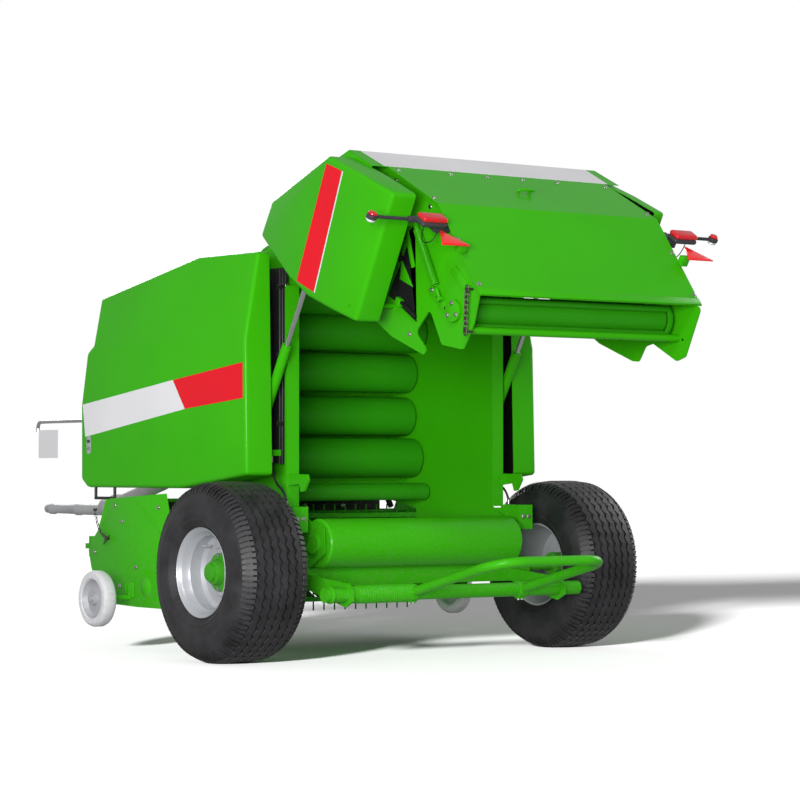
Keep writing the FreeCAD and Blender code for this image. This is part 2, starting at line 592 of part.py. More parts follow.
def guard(name, side, piece, turned, shallow=False):
    """Moulded side guard: a dished shell, open towards the machine. A shallow one is flat
    and stays under the rear shell's hood.
    """
    near, face = ("lug_near + lug_wall + fit", "guard_in - fit") if shallow else ("guard_in", "guard_out")
    body = new_body(name + "_body")
    points = outline(piece)
    lean_z, lean_top = "lean_z", "lean_top_z"
    if turned:
        points = from_pivot(points)
        lean_z, lean_top = "lean_z - pivot_z", "lean_top_z - pivot_z"
    low, thick = slab(side, near, face)
    sketch = sketch_on(body, "YZ_Plane", low)
    polygon(sketch, points)
    block = pad(body, sketch, thick)
    soft = ("chin", "toe", "bottom", "heel") if piece == "guard" else ("rear", "low", "toe")
    corners = outline(piece, *soft)
    round_corners(body, block, from_pivot(corners) if turned else corners, "guard_corner")
    doc.recompute()
    slope = "0" if shallow else "(guard_out - guard_top_x) / (lean_top_z - lean_z)"
    if not shallow:
        # the upper part of the outer face leans in
        sketch = sketch_on(body, "XZ_Plane", "4000")
        far = f"{lean_top} + 400"
        polygon(sketch, [(f"{side} * guard_out", lean_z), (f"{side} * (guard_out + 50)", lean_z),
                         (f"{side} * (guard_out + 50)", far),
                         (f"{side} * (guard_out - {slope} * (lean_top_z + 400 - lean_z))", far)])
        pocket(body, sketch, "8000")
        doc.recompute()
    solid = body.Tip
    inner = [f"Face{i}" for i, f in enumerate(solid.Shape.Faces, 1)
             if abs(f.CenterOfMass.x - side * size(near)) < 0.5]
    shell = body.newObject("PartDesign::Thickness", name + "_shell")
    shell.Base = (solid, inner)
    shell.Reversed = True
    shell.Mode = 0
    shell.Join = 1
    bind(shell, Value="guard_wall")
    doc.recompute()
    soft_edges(body, shell, side)
    pieces, holes = [body], []
    if turned:
        for ahead, height in (("-520", "1120"), ("-110", "1080"), ("-180", "1800")):
            lean_in = f"{slope} * max(0; {height} - lean_z)"
            pieces.append(cylinder(name + "_standoff", "x",
                                   (f"{ahead} - pivot_y", f"{height} - pivot_z"),
                                   span(side, "gate_wall_out + fit", f"{face} - 3 - {lean_in}"),
                                   "standoff"))
        keep(name, fuse(name + "_part", pieces), turned=True)
        return
    rise = "(guard_brow_height - guard_top_height) / (guard_brow_ahead - guard_top_ahead)"
    for spot in ("hinge_first", "hinge_second"):
        start, end = f"{spot} + hinge_leaf + 1", f"{spot} + 2 * hinge_leaf + 1"
        top = f"guard_top_height + ({spot} - guard_top_ahead) * {rise} - 1"
        pieces.append(box(f"{name}_strap", span(side, "hinge_x - hinge_pin - 4", "hinge_x + hinge_pin + 4"),
                          (start, end), ("hinge_z - hinge_pin - 6", top)))
        holes.append(cylinder(f"{name}_hole", "y", (f"{side} * hinge_x", "hinge_z"),
                              (f"{start} - 5", f"{end} + 5"), "hinge_pin + fit"))
    keep(name, cut(name + "_part", fuse(name + "_solid", pieces), fuse(name + "_holes", holes)))


# ---------------------------------------------------------------- tailgate
def gate_wall(name, side):
    """Side wall of the tailgate: roller bearings, pivot eye and the cylinder's lug."""
    body = new_body(name + "_body")
    low, thick = slab(side, "gate_wall_in", "gate_wall_out")
    sketch = sketch_on(body, "YZ_Plane", low)
    under_shell = [("shell_front_ahead + 2", "shell_front_height - fit"),
                   ("shell_crown_ahead + fit", "shell_crown_height - fit"),
                   ("shell_slope_ahead + fit", "shell_slope_height - fit"),
                   ("shell_rear_ahead + fit", "shell_rear_height"),
                   ("shell_low_ahead + fit", "shell_low_height")]
    seam = "seam_right" if side > 0 else "seam_left"
    lean = "(shell_sill_ahead - shell_low_ahead) / (shell_low_height - shell_sill_height)"
    under_shell.append((f"shell_low_ahead + (shell_low_height - {seam}) * {lean} + 1.5 * fit", seam))
    lower = outline("gateright" if side > 0 else "gateleft")
    polygon(sketch, from_pivot(under_shell + lower + outline("gatewall")))
    plate = pad(body, sketch, thick)
    round_corners(body, plate, from_pivot(lower), "gate_corner")
    sketch = sketch_on(body, "YZ_Plane", f"{low} + {thick}")
    circles(sketch, [("0", "0", "boss_radius + slack")])
    pocket(body, sketch, thick)
    bearings = from_pivot([head_spot(), ("sill_y", "sill_z")])
    low, thick = slab(side, "wall_in", "gate_wall_in")
    sketch = sketch_on(body, "YZ_Plane", low)
    circles(sketch, [(a, b, "boss_radius") for a, b in bearings])
    pad(body, sketch, thick)
    low, thick = slab(side, "wall_in", "gate_wall_out")
    sketch = sketch_on(body, "YZ_Plane", f"{low} + {thick}")
    circles(sketch, [(a, b, "journal - 8 + fit") for a, b in bearings])
    pocket(body, sketch, thick)
    # a spacer block and a plate outside the post, where the cylinder's rod is pinned
    low, thick = slab(side, "gate_wall_out", "lug_near + lug_wall")
    sketch = sketch_on(body, "YZ_Plane", low)
    polygon(sketch, from_pivot([("-60", "ram_head_z - 50"), ("0", "ram_head_z - 50"),
                                ("0", "ram_head_z + 50"), ("-60", "ram_head_z + 50")]))
    pad(body, sketch, thick)
    low, thick = slab(side, "lug_near", "lug_near + lug_wall")
    sketch = sketch_on(body, "YZ_Plane", low)
    polygon(sketch, from_pivot([("-30", "ram_head_z - 50"), ("ram_head_y", "ram_head_z - eye_radius"),
                                ("ram_head_y + eye_radius", "ram_head_z"),
                                ("ram_head_y", "ram_head_z + eye_radius"), ("-30", "ram_head_z + 50")]))
    pad(body, sketch, thick)
    keep(name, body, turned=True)


def rear_shell():
    """Folded rear sheet: its upper facets run out over the tail guards."""
    wall, half, wide = size("sheet_wall"), size("shell_half"), size("guard_in - fit")
    sheet_part = folded(from_pivot(outline("shell")), wall, -half, half)
    hood = folded(from_pivot(outline("shell", "front", "crown", "slope", "rear")), wall, -wide, wide)
    keep("rear_shell", fixed("rear_shell_sheet", sheet_part.fuse([hood])), turned=True)


def conveyor_path(grow=0):
    """The conveyor's closed loop: round the chamber, round the sill roller and back.
    The loop can be drawn larger or smaller by a given growth."""
    def on(circle, angle):
        return circle[0] + Vector(0, math.cos(angle), math.sin(angle)) * circle[1]

    def arc(circle, start, end):
        return Part.Arc(on(circle, start), on(circle, (start + end) / 2), on(circle, end)).toShape()

    centre = Vector(0, size("chamber_y - pivot_y"), size("chamber_z - pivot_z"))
    inner, outer = (centre, size("run_in") - grow), (centre, size("run_out") + grow)
    head_angle = math.radians(size("run_top"))
    head = (centre + Vector(0, math.cos(head_angle), math.sin(head_angle)) * ((inner[1] + outer[1]) / 2),
            (outer[1] - inner[1]) / 2)
    sill = (Vector(0, size("sill_y - pivot_y"), size("sill_z - pivot_z")), size("sill_dia / 2 + slat") + grow)
    aim, lean = tangent_angle(outer, sill, False)
    leave_out = aim - lean + 2 * math.pi
    aim, lean = tangent_angle(inner, sill, True)
    leave_in = aim - lean + 2 * math.pi
    away = leave_in - math.pi
    edges = [arc(outer, head_angle, leave_out),
             Part.LineSegment(on(outer, leave_out), on(sill, leave_out)).toShape(),
             arc(sill, leave_out, away + 2 * math.pi),
             Part.LineSegment(on(sill, away), on(inner, leave_in)).toShape(),
             arc(inner, leave_in, head_angle),
             arc(head, head_angle + math.pi, head_angle + 2 * math.pi)]
    return Part.Wire(edges)


def conveyor():
    """Slats between two side chains, which run round the tailgate's half of the chamber."""
    path = conveyor_path()
    wide, deep, reach = size("chain_wide"), size("chain_deep"), size("slat_half")
    band = Part.Face([conveyor_path(deep / 2), conveyor_path(-deep / 2)])
    band.validate()
    pieces = []
    for start in (-reach - wide, reach):
        chain = band.extrude(Vector(wide, 0, 0))
        chain.translate(Vector(start, 0, 0))
        pieces.append(chain)
    for point in path.discretize(Number=int(size("slat_count")) + 1)[:-1]:
        end = reach + size("slat_lap")
        pieces.append(Part.makeCylinder(size("slat"), 2 * end, point - Vector(end, 0, 0), Vector(1, 0, 0)))
    keep("conveyor", fixed("conveyor_loop", pieces[0].fuse(pieces[1:])), turned=True)


def conveyor_rollers():
    """The sill roller and the conveyor's upper shaft, in the tailgate's side walls."""
    for name, spot, dia in (("sill_roller", ("sill_y", "sill_z"), "sill_dia"),
                            ("conveyor_shaft", head_spot(), "run_out - run_in - 2 * slat")):
        ahead, height = from_pivot([spot])[0]
        body = new_body(name + "_body")
        reach, radius, half = "gate_wall_out", f"({dia}) / 2 - fit", "slat_half - 4"
        sketch = sketch_on(body, "XY_Plane")
        polygon(sketch, [(f"-{reach}", "0"), (f"-{reach}", "journal - 8"), (f"-{half}", "journal - 8"),
                         (f"-{half}", radius), (half, radius), (half, "journal - 8"),
                         (reach, "journal - 8"), (reach, "0")])
        revolve(body, sketch)
        place(body, "0", ahead, height)
        keep(name, group(name + "_part", [body]), turned=True)


def gate_tube():
    """Cross tube along the tailgate's sill."""
    tube = cylinder("sill_tube", "x", ("cross_y - pivot_y", "cross_z - pivot_z"),
                    ("-gate_wall_in + fit", "gate_wall_in - fit"), "cross_tube")
    keep("gate_tube", group("gate_tube_part", [tube]), turned=True)


# ---------------------------------------------------------------- tailgate cylinders
def ram(side_name, side):
    """Double-acting cylinder: an eyed barrel, and a rod that carries its own pin."""
    near, far = span(side, "ram_x - ram_eye_half", "ram_x + ram_eye_half")
    middle = f"{side} * ram_x"
    ring = cylinder(f"barrel_eye_{side_name}", "x", ("0", "0"), (near, far), "eye_radius")
    tube = strut(f"barrel_tube_{side_name}", (middle, "0", "eye_radius - 5"), "0",
                 "barrel_long - eye_radius + 5", "barrel_radius")
    bore = cylinder(f"barrel_pin_hole_{side_name}", "x", ("0", "0"), (near, far), "eye_pin + fit")
    well = strut(f"barrel_bore_{side_name}", (middle, "0", "eye_radius + 20"), "0", "barrel_long",
                 "ram_rod + fit")
    whole = cut(f"barrel_whole_{side_name}", fuse(f"barrel_solid_{side_name}", [ring, tube]),
                fuse(f"barrel_voids_{side_name}", [bore, well]))
    place(whole, "0", "0", "0", (1, 0, 0), "ram_lean")
    keep(f"ram_barrel_{side_name}", whole, y="axle_y + ram_foot_y", z="ram_foot_z")
    stem_long = "ram_shut_long - 2 * eye_radius"
    stem = strut(f"rod_stem_{side_name}", (middle, "0", f"-({stem_long})"), "0", stem_long, "ram_rod")
    head = cylinder(f"rod_head_{side_name}", "x", ("0", "0"), (near, far), "eye_radius")
    inner, outer = span(side, "lug_near + lug_wall + fit", "ram_x + ram_eye_half + 6")
    pin = cylinder(f"rod_pin_{side_name}", "x", ("0", "0"), (inner, outer), "eye_pin")
    rod = fuse(f"rod_whole_{side_name}", [stem, head, pin])
    place(rod, "0", "0", "0", (1, 0, 0), "ram_lean")
    keep(f"ram_rod_{side_name}", rod, y="axle_y + ram_open_y", z="ram_open_z")


def cord(name, points, radius, bend, **seat):
    """A hose or cable along the corners of its route."""
    corners = [Vector(*[size(value) for value in point]) for point in points]
    bends = [size(bend) for _ in corners[1:-1]]
    keep(name, fixed(name + "_run", swept(corners, size(radius), bends)), **seat)


def hoses(side_name, side):
    """Hydraulic hose from the port under the cylinder's foot down to the step box, and the lamp's cable."""
    x, middle = f"{side} * hose_x", "(hose_turn + step_top) / 2"
    cord(f"hose_{side_name}", [(x, "hose_y", "hose_top - fit"), (x, "hose_y", "hose_turn"),
                               (x, "hose_foot", middle), (x, "hose_foot", "step_top + fit")], "hose", "hose_bend")
    far, near = f"{side} * cable_far", f"{side} * cable_near"
    back, sag, level = "lamp_y - pivot_y", "cable_sag - pivot_y", "lamp_z - pivot_z"
    cord(f"lamp_cable_{side_name}", [(far, f"{back} + fit", level), (far, sag, level), (near, sag, level),
                                     (near, f"{back} + lamp_strap + fit", level)],
         "cable", "cable_bend", turned=True)


# ---------------------------------------------------------------- drawbar
def tongue():
    """Box-section tongue that passes over the pickup and comes down to the hitch."""
    body = new_body("tongue_body")
    sketch = sketch_on(body, "YZ_Plane", "-tongue_half")
    start = "beam_y + beam / 2 + fit"
    points = [(start, "beam_z - beam / 2"), (start, "beam_z + beam / 2")]
    polygon(sketch, points + outline("tongue"))
    pad(body, sketch, "2 * tongue_half")
    keep("tongue", body)


def hitch_eye():
    """Forged drawbar eye, bolted to the tongue's end plate."""
    flange = box("eye_flange", ("-tongue_half", "tongue_half"),
                 ("tongue_tip_ahead + fit", "tongue_tip_ahead + 22"), ("eye_z - 60", "eye_z + 60"))
    half = "eye_plate / 2"
    neck = box("eye_neck", ("-38", "38"), ("tongue_tip_ahead + 10", "eye_y"),
               (f"eye_z - {half}", f"eye_z + {half}"))
    ring = cylinder("eye_ring", "z", ("0", "eye_y"), (f"eye_z - {half}", f"eye_z + {half}"),
                    "eye_bore + 24")
    hole = cylinder("eye_hole", "z", ("0", "eye_y"), ("eye_z - 100", "eye_z + 100"), "eye_bore")
    keep("hitch_eye", cut("hitch_eye_part", fuse("eye_solid", [flange, neck, ring]), hole))


def jack():
    """Parking jack: a tube on the tongue's side, and the leg that slides in it."""
    tube = cylinder("jack_outer", "z", ("jack_x", "jack_y"), ("jack_low", "jack_top"), "jack_tube")
    level = on_tongue("jack_y")
    seat = box("jack_seat", ("tongue_half + fit", "jack_x"), ("jack_y - 45", "jack_y + 45"),
               (f"{level} - 90", f"{level} - 30"))
    bore = cylinder("jack_bore", "z", ("jack_x", "jack_y"), ("jack_low - 10", "jack_top - 15"),
                    "jack_leg + fit")
    keep("jack", cut("jack_part", fuse("jack_solid", [tube, seat]), bore))
    leg = cylinder("jack_leg_tube", "z", ("jack_x", "jack_y"), ("0", "jack_top - 300"), "jack_leg")
    foot = cylinder("jack_foot_plate", "z", ("jack_x", "jack_y"), ("0", "jack_foot_thick"),
                    "jack_foot")
    keep("jack_leg", fuse("jack_leg_part", [leg, foot]))


def driveline():
    """Gearbox on the tongue and its guarded drive shaft, which runs down to the tractor."""
    half = "gearbox_half"
    case = box("gearbox_case", (f"-{half}", half), (f"gearbox_y - {half}", f"gearbox_y + {half}"),
               ("tongue_knee_height + 5 + fit", f"gearbox_z + {half}"))
    snout = cylinder("gearbox_snout", "y", ("0", "gearbox_z"), (f"gearbox_y + {half} - 5", "drive_y - 12"),
                     "shaft_guard")
    keep("gearbox", fuse("gearbox_part", [case, snout]))
    lean = "-90 - drive_lean"
    shaft = strut("shaft_rear", ("0", "drive_y", "gearbox_z"), lean, "drive_long", "shaft_guard")
    collar = strut("shaft_cone", ("0", "drive_y", "gearbox_z"), lean, "70", "bell", "shaft_guard")
    neck = cylinder("shaft_neck", "y", ("0", "gearbox_z"), ("drive_y - 12 + fit", "drive_y + 20"),
                    "shaft_guard")
    cup = cylinder("joint_cup", "y", ("0", "joint_z - 15"), ("joint_y - 25", "joint_y + 110"), "bell")
    nose = strut("shaft_nose_part", ("0", "joint_y + 100", "nose_z"), "-90", "nose_y - joint_y - 100",
                 "shaft_nose + 10", "shaft_nose")
    bore = cylinder("yoke_bore", "y", ("0", "nose_z"), ("nose_y - yoke_deep", "nose_y + 20"),
                    "yoke_bore")
    keep("shaft_guard", cut("shaft_guard_part", fuse("shaft_solid", [shaft, neck, collar, cup, nose]), bore))


def on_tongue(ahead):
    """Height of the tongue's sloping top at a place along it."""
    fall = "(tongue_knee_height - tongue_top_height) / (tongue_top_ahead - tongue_knee_ahead)"
    return f"tongue_knee_height - ({ahead} - tongue_knee_ahead) * {fall}"


def hose_holder():
    """Bent rod over the tongue that holds up the hoses, on a foot plate."""
    plate = new_body("holder_foot")
    sketch = sketch_on(plate, "YZ_Plane", "holder_x - 20")
    ends = [on_tongue("holder_y - 35"), on_tongue("holder_y + 35")]
    polygon(sketch, [("holder_y - 35", f"{ends[0]} + fit"), ("holder_y + 35", f"{ends[1]} + fit"),
                     ("holder_y + 35", f"{ends[1]} + 14"), ("holder_y - 35", f"{ends[0]} + 14")])
    pad(plate, sketch, "tongue_half - holder_x")
    x, y = size("holder_x"), size("holder_y")
    high, front = size("holder_z"), size("holder_hook_y")
    root, tip = size(on_tongue("holder_y") + " + holder_root"), size("holder_hook_z")
    points = [Vector(x, y, root), Vector(x, y, high), Vector(0, front, high), Vector(0, front, tip)]
    rod = fixed("holder_rod", swept(points, size("holder_radius"), [size("holder_bend"), size("hook_bend")]))
    keep("hose_holder", fuse("hose_holder_part", [plate, rod]))
    end = "holder_hook_y - holder_radius - fit"
    tag = box("tag", ("-tag_wall / 2", "tag_wall / 2"), (f"{end} - tag_long", end),
              ("tag_low", "holder_hook_z + holder_radius"))
    keep("tag_plate", tag, y=f"axle_y + {end} - tag_long", z="tag_low", x="-tag_wall / 2")


# ---------------------------------------------------------------- pickup
def pickup_frame():
    """Cheek plates, cross tube, lift arms and gauge wheel pins."""
    pieces = []
    for side_name, side in SIDES.items():
        low, thick = slab(side, "cheek", "cheek + cheek_wall")
        cheek = new_body("cheek_" + side_name)
        sketch = sketch_on(cheek, "YZ_Plane", low)
        polygon(sketch, outline("cheek"))
        pad(cheek, sketch, thick)
        sketch = sketch_on(cheek, "YZ_Plane", f"{low} + {thick}")
        circles(sketch, [("reel_y", "reel_z", "reel_shaft + slack")])
        pocket(cheek, sketch, thick)
        low, thick = slab(side, "arm_near", "arm_near + arm_wall")
        arm = new_body("lift_arm_" + side_name)
        sketch = sketch_on(arm, "YZ_Plane", low)
        polygon(sketch, [("pick_tube_y - 30", "pick_tube_z - 10"), ("pick_tube_y + 30", "pick_tube_z - 10"),
                         ("pin_y + 34", "pin_z - 20"), ("pin_y + 34", "pin_z + 34"),
                         ("pin_y - 34", "pin_z + 34")])
        pad(arm, sketch, thick)
        sketch = sketch_on(arm, "YZ_Plane", f"{low} + {thick}")
        circles(sketch, [("pin_y", "pin_z", "pin_radius + fit")])
        pocket(arm, sketch, thick)
        pin = cylinder("gauge_pin_" + side_name, "x", ("gauge_y", "gauge_z"),
                       span(side, "cheek", "gauge_x + gauge_width / 2 + 8"), "gauge_pin")
        pieces += [cheek, arm, pin]
    pieces.append(cylinder("pickup_tube", "x", ("pick_tube_y", "pick_tube_z"), ("-cheek", "cheek"),
                           "pick_tube"))
    keep("pickup_frame", fuse("pickup_frame_part", pieces))


def strippers():
    """Curved bands with the tines' gaps between them, on two rails."""
    radius, x, z = size("band_radius"), size("reel_y"), size("reel_z")

    def rim_point(angle):
        turn = math.radians(angle)
        return Vector(0, x + radius * math.cos(turn), z + radius * math.sin(turn))

    top, low = rim_point(100), rim_point(-110)
    rear_top = Vector(0, size("rail_y"), size("rail_z"))
    rear_low = Vector(0, size("rail_y"), size("low_rail_z"))
    path = Part.Wire([Part.LineSegment(rear_top, top).toShape(),
                      Part.Arc(top, rim_point(0), low).toShape(),
                      Part.LineSegment(low, rear_low).toShape()])
    face = path.makeOffset2D(-size("band_wall"), 0, True, True)
    pitch, width, count = size("tine_pitch"), size("band"), int(size("tine_count"))
    strip = face.extrude(Vector(width, 0, 0))
    strips = []
    for number in range(count + 1):
        copy = strip.copy()
        copy.translate(Vector((number - count / 2) * pitch - width / 2, 0, 0))
        strips.append(copy)
    rail, reach = size("rail"), size("cheek - fit")
    rails = [Part.makeBox(2 * reach, rail, rail, Vector(-reach, spot.y - rail + 2, spot.z - rail / 2))
             for spot in (rear_top, rear_low)]
    keep("pickup_strippers", fixed("pickup_bands", rails[0].fuse(rails[1:] + strips)))


def reel():
    """Tine reel: shaft, discs, tine bars and the rows of spring tines."""
    reach = size("cheek + cheek_wall")
    along = Vector(1, 0, 0)
    shaft = Part.makeCylinder(size("reel_shaft"), 2 * reach, Vector(-reach, 0, 0), along)
    pieces = []
    inner, disc = size("cheek - 30"), size("disc_wall")
    for place_x in (-inner, (size("tine_pitch") - disc) / 2, inner - disc):
        pieces.append(Part.makeCylinder(size("reel_disc"), disc, Vector(place_x, 0, 0), along))
    bars, count, pitch = int(size("tine_bars")), int(size("tine_count")), size("tine_pitch")
    wire, root, tip = size("tine"), size("bar_radius"), size("tine_radius")
    for step in range(bars):
        turn = Rotation(along, 360 / bars * step)
        pieces.append(Part.makeCylinder(size("tine_bar"), 2 * inner,
                                        turn.multVec(Vector(-inner, 0, root)), along))
        for number in range(count):
            tine = Part.makeBox(wire, wire, tip - root, Vector(-wire / 2, -wire / 2, root))
            tine.Placement = Placement(Vector((number - (count - 1) / 2) * pitch, 0, 0), turn)
            pieces.append(tine)
    keep("pickup_reel", fixed("tine_reel", shaft.fuse(pieces)), y="axle_y + reel_y", z="reel_z")


def gauge_wheel(name, side):
    """Small pickup wheel on a plain bore."""
    body = new_body(name)
    half = "gauge_width / 2"
    rim_r = "gauge_dia / 2"
    profile = [(f"-{half}", "gauge_pin + fit"), (f"-{half}", "40"), (f"-{half} + 14", "50"),
               (f"-{half} + 14", f"{rim_r} - 40"), (f"-{half}", f"{rim_r} - 30"), (f"-{half}", f"{rim_r} - 12"),
               (f"-{half} + 12", rim_r), (f"{half} - 12", rim_r), (half, f"{rim_r} - 12"),
               (half, f"{rim_r} - 30"), (f"{half} - 14", f"{rim_r} - 40"), (f"{half} - 14", "50"),
               (half, "40"), (half, "gauge_pin + fit")]
    sketch = sketch_on(body, "XY_Plane")
    polygon(sketch, profile)
    revolve(body, sketch)
    keep(name, body, y="axle_y + gauge_y", z="gauge_z", x=f"{side} * gauge_x")


# ---------------------------------------------------------------- bale kicker
def kicker():
    """Cross tube with a spring sleeve and the bent loop that rolls the bale clear."""
    tube = cylinder("kicker_tube", "x", ("0", "0"), ("-kick_half", "kick_half"), "kick_radius")
    sleeve = cylinder("kicker_sleeve", "x", ("0", "0"), ("-sleeve_left", "-sleeve_right"),
                      "sleeve_radius")
    back, rise = -size("loop_back"), size("loop_rise")
    left, right = size("loop_left"), size("loop_right")
    points = [Vector(left, 0, 0), Vector(left, back, rise), Vector(right, back, rise),
              Vector(right, 0, 0)]
    loop = fixed("kicker_loop", swept(points, size("loop_radius"), [size("loop_bend")] * 2))
    keep("kicker", fuse("kicker_part", [tube, sleeve, loop]), y="axle_y + kick_y", z="kick_z")


# ---------------------------------------------------------------- lamps
def shell_bracket(name, side, near, far, low, high, back):
    """A block seated on the rear shell's lower facet, which reaches back to a given plane."""
    lean = "(shell_sill_ahead - shell_low_ahead) / (shell_low_height - shell_sill_height)"
    bracket = new_body(name)
    start, thick = slab(side, near, far)
    sketch = sketch_on(bracket, "YZ_Plane", start)
    off = f"(sheet_wall + fit) * sqrt(1 + ({lean})^2)"
    seats = [(f"shell_low_ahead + (shell_low_height - ({z})) * {lean} - {off}", z) for z in (low, high)]
    polygon(sketch, from_pivot(seats + [(back, high), (back, low)]))
    pad(bracket, sketch, thick)
    return bracket


def lamps():
    """Rear lamp bodies on straps from the side walls, each with a marker lamp on a rubber arm."""
    pieces = []
    back = "lamp_y - pivot_y"
    for side_name, side in SIDES.items():
        case = box(f"lamp_case_{side_name}", span(side, "lamp_x - lamp_long / 2", "lamp_x + lamp_long / 2"),
                   (f"{back} - lamp_deep", back),
                   ("lamp_z - pivot_z - lamp_high / 2", "lamp_z - pivot_z + lamp_high / 2"))
        strap = box(f"lamp_strap_{side_name}", span(side, "gate_wall_out + fit", "lamp_x - 30"),
                    (f"{back} - 3", f"{back} + lamp_strap"),
                    ("lamp_z - pivot_z - 6", "marker_z - pivot_z + 2 * marker_arm"))
        spot = ("marker_y - pivot_y", "marker_z - pivot_z")
        stalk = cylinder(f"marker_arm_{side_name}", "x", spot,
                         span(side, "gate_wall_out + 10", "marker_x"), "marker_arm")
        knob = cylinder(f"marker_{side_name}", "y", (f"{side} * marker_x", spot[1]),
                        (f"{spot[0]} - marker_radius", f"{spot[0]} + marker_radius"), "marker_radius")
        pieces.append(fuse(f"lamp_whole_{side_name}", [case, strap, stalk, knob]))
    keep("lamps", group("lamps_part", pieces), turned=True)


def reflectors():
    """Triangular rear reflectors on brackets from the rear shell."""
    plates = []
    for side_name, side in SIDES.items():
        plate = new_body(f"reflector_plate_{side_name}")
        sketch = sketch_on(plate, "XZ_Plane", "-(reflector_y - pivot_y)")
        top, middle = "reflector_top - pivot_z", f"{side} * reflector_x"
        low = f"{top} - reflector_side * sin(60)"
        polygon(sketch, [(middle, top), (f"{middle} + reflector_side / 2", low),
                         (f"{middle} - reflector_side / 2", low)])
        pad(plate, sketch, "reflector_thick")
        bracket = shell_bracket(f"reflector_bracket_{side_name}", side, "gate_wall_out + 4",
                                "shell_half + 28", "reflector_top - 115", "reflector_top - 85",
                                "reflector_y - reflector_thick / 2")
        plates.append(fuse(f"reflector_whole_{side_name}", [plate, bracket]))
    keep("reflectors", group("reflectors_part", plates), turned=True)


# ---------------------------------------------------------------- build
for side_name, side in SIDES.items():
    tyre("tyre_" + side_name, side)
    rim("rim_" + side_name, side)
    chamber_wall("chamber_wall_" + side_name, side)
    guard("guard_" + side_name, side, "guard", False)
    guard("tail_guard_" + side_name, side, "tail", True, shallow=side > 0)
    gate_wall("gate_wall_" + side_name, side)
    ram(side_name, side)
    gauge_wheel("gauge_wheel_" + side_name, side)
    hoses(side_name, side)
axle()
front_beam()
front_panel()
twine_box()
rear_shell()
gate_tube()
tongue()
hitch_eye()
jack()
driveline()
hose_holder()
pickup_frame()
strippers()
reel()
kicker()
lamps()
reflectors()
for number, spot in enumerate(front_spots(), 1):
    roller(f"front_roller_{number}", spot)
conveyor()
conveyor_rollers()
roller("starter_roller", ("starter_y", "starter_z"), "starter_dia")
roller("floor_roller", ("floor_y", "floor_z"), "floor_dia")

# ---------------------------------------------------------------- check and write
doc.recompute()
for thing in doc.Objects:
    if "Invalid" in thing.State or "Error" in thing.State:
        raise RuntimeError(f"{thing.Name} failed: {thing.getStatusString()}")
os.makedirs("parts", exist_ok=True)
for name, thing in subparts.items():
    if thing.Shape.isNull() or not thing.Shape.isValid():
        raise RuntimeError(f"{name} has no valid shape")
for name, thing in subparts.items():
    thing.Shape.exportStep(f"parts/{name}.step")
    bounds = thing.Shape.BoundBox
    print(f"{name:22s} solids {len(thing.Shape.Solids)}  y {bounds.YMin:.0f}..{bounds.YMax:.0f}"
          f"  z {bounds.ZMin:.0f}..{bounds.ZMax:.0f}  x {bounds.XMin:.0f}..{bounds.XMax:.0f}")
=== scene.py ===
import json
from math import cos, pi, radians, sin, sqrt, tau
import bpy
from mathutils import Matrix, Vector


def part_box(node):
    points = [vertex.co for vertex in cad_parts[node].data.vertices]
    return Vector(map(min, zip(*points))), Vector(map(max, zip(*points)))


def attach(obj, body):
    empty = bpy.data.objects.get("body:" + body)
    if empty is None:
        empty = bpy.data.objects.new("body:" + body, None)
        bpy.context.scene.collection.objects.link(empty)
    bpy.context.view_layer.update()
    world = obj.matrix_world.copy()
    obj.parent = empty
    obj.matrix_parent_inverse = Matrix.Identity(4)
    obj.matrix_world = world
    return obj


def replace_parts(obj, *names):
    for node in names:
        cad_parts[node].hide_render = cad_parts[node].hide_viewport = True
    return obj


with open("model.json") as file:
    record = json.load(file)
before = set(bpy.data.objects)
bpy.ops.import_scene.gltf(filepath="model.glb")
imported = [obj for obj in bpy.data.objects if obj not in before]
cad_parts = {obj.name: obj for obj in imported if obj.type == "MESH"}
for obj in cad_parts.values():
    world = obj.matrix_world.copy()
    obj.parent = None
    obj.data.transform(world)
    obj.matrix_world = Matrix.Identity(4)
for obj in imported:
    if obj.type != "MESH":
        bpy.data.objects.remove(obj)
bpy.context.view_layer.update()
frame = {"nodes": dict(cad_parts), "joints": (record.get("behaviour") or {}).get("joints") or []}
nodes = frame["nodes"]

# ---------------- camera, floor and studio light
# A long lens behind the machine's left wheel, at chest height, on a pale studio floor. One sun
# lights the floor alone and gives its shadow; a sun and three soft boxes light the machine.
tyre_low, tyre_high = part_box("tyre_left")
AXLE = (tyre_low[1] + tyre_high[1]) / 2        # the axle's place along the machine
PITCH, YAW = 1.481, 36.593

camera = bpy.data.objects.new("camera", bpy.data.cameras.new("camera"))
bpy.context.scene.collection.objects.link(camera)
camera.location = (-8.3204, -11.1766 + AXLE, 0.924)
camera.rotation_euler = (radians(90 + PITCH), 0, radians(-YAW))
camera.data.sensor_width = 36
camera.data.lens = 123.87
camera.data.clip_end = 200
bpy.context.scene.camera = camera
bpy.context.scene.view_settings.view_transform = "Standard"

bpy.ops.mesh.primitive_plane_add(size=120, location=(0, 0, -0.002))
floor = bpy.context.object
floor.name = "floor"


def new_material(name):
    """A material with its node tree emptied down to the Principled shader and the output."""
    material = bpy.data.materials.new(name)
    material.use_nodes = True
    tree = material.node_tree
    return material, tree, tree.nodes["Principled BSDF"]


def feed(tree, node, values):
    """Give a node's inputs plain values, or links from other nodes."""
    for key, value in values.items():
        if isinstance(value, bpy.types.NodeSocket):
            tree.links.new(value, node.inputs[key])
        else:
            node.inputs[key].default_value = value


def add(tree, kind, values=None, **settings):
    """A node with its settings and what feeds its inputs."""
    node = tree.nodes.new(kind)
    for key, value in settings.items():
        setattr(node, key, value)
    feed(tree, node, values or {})
    return node


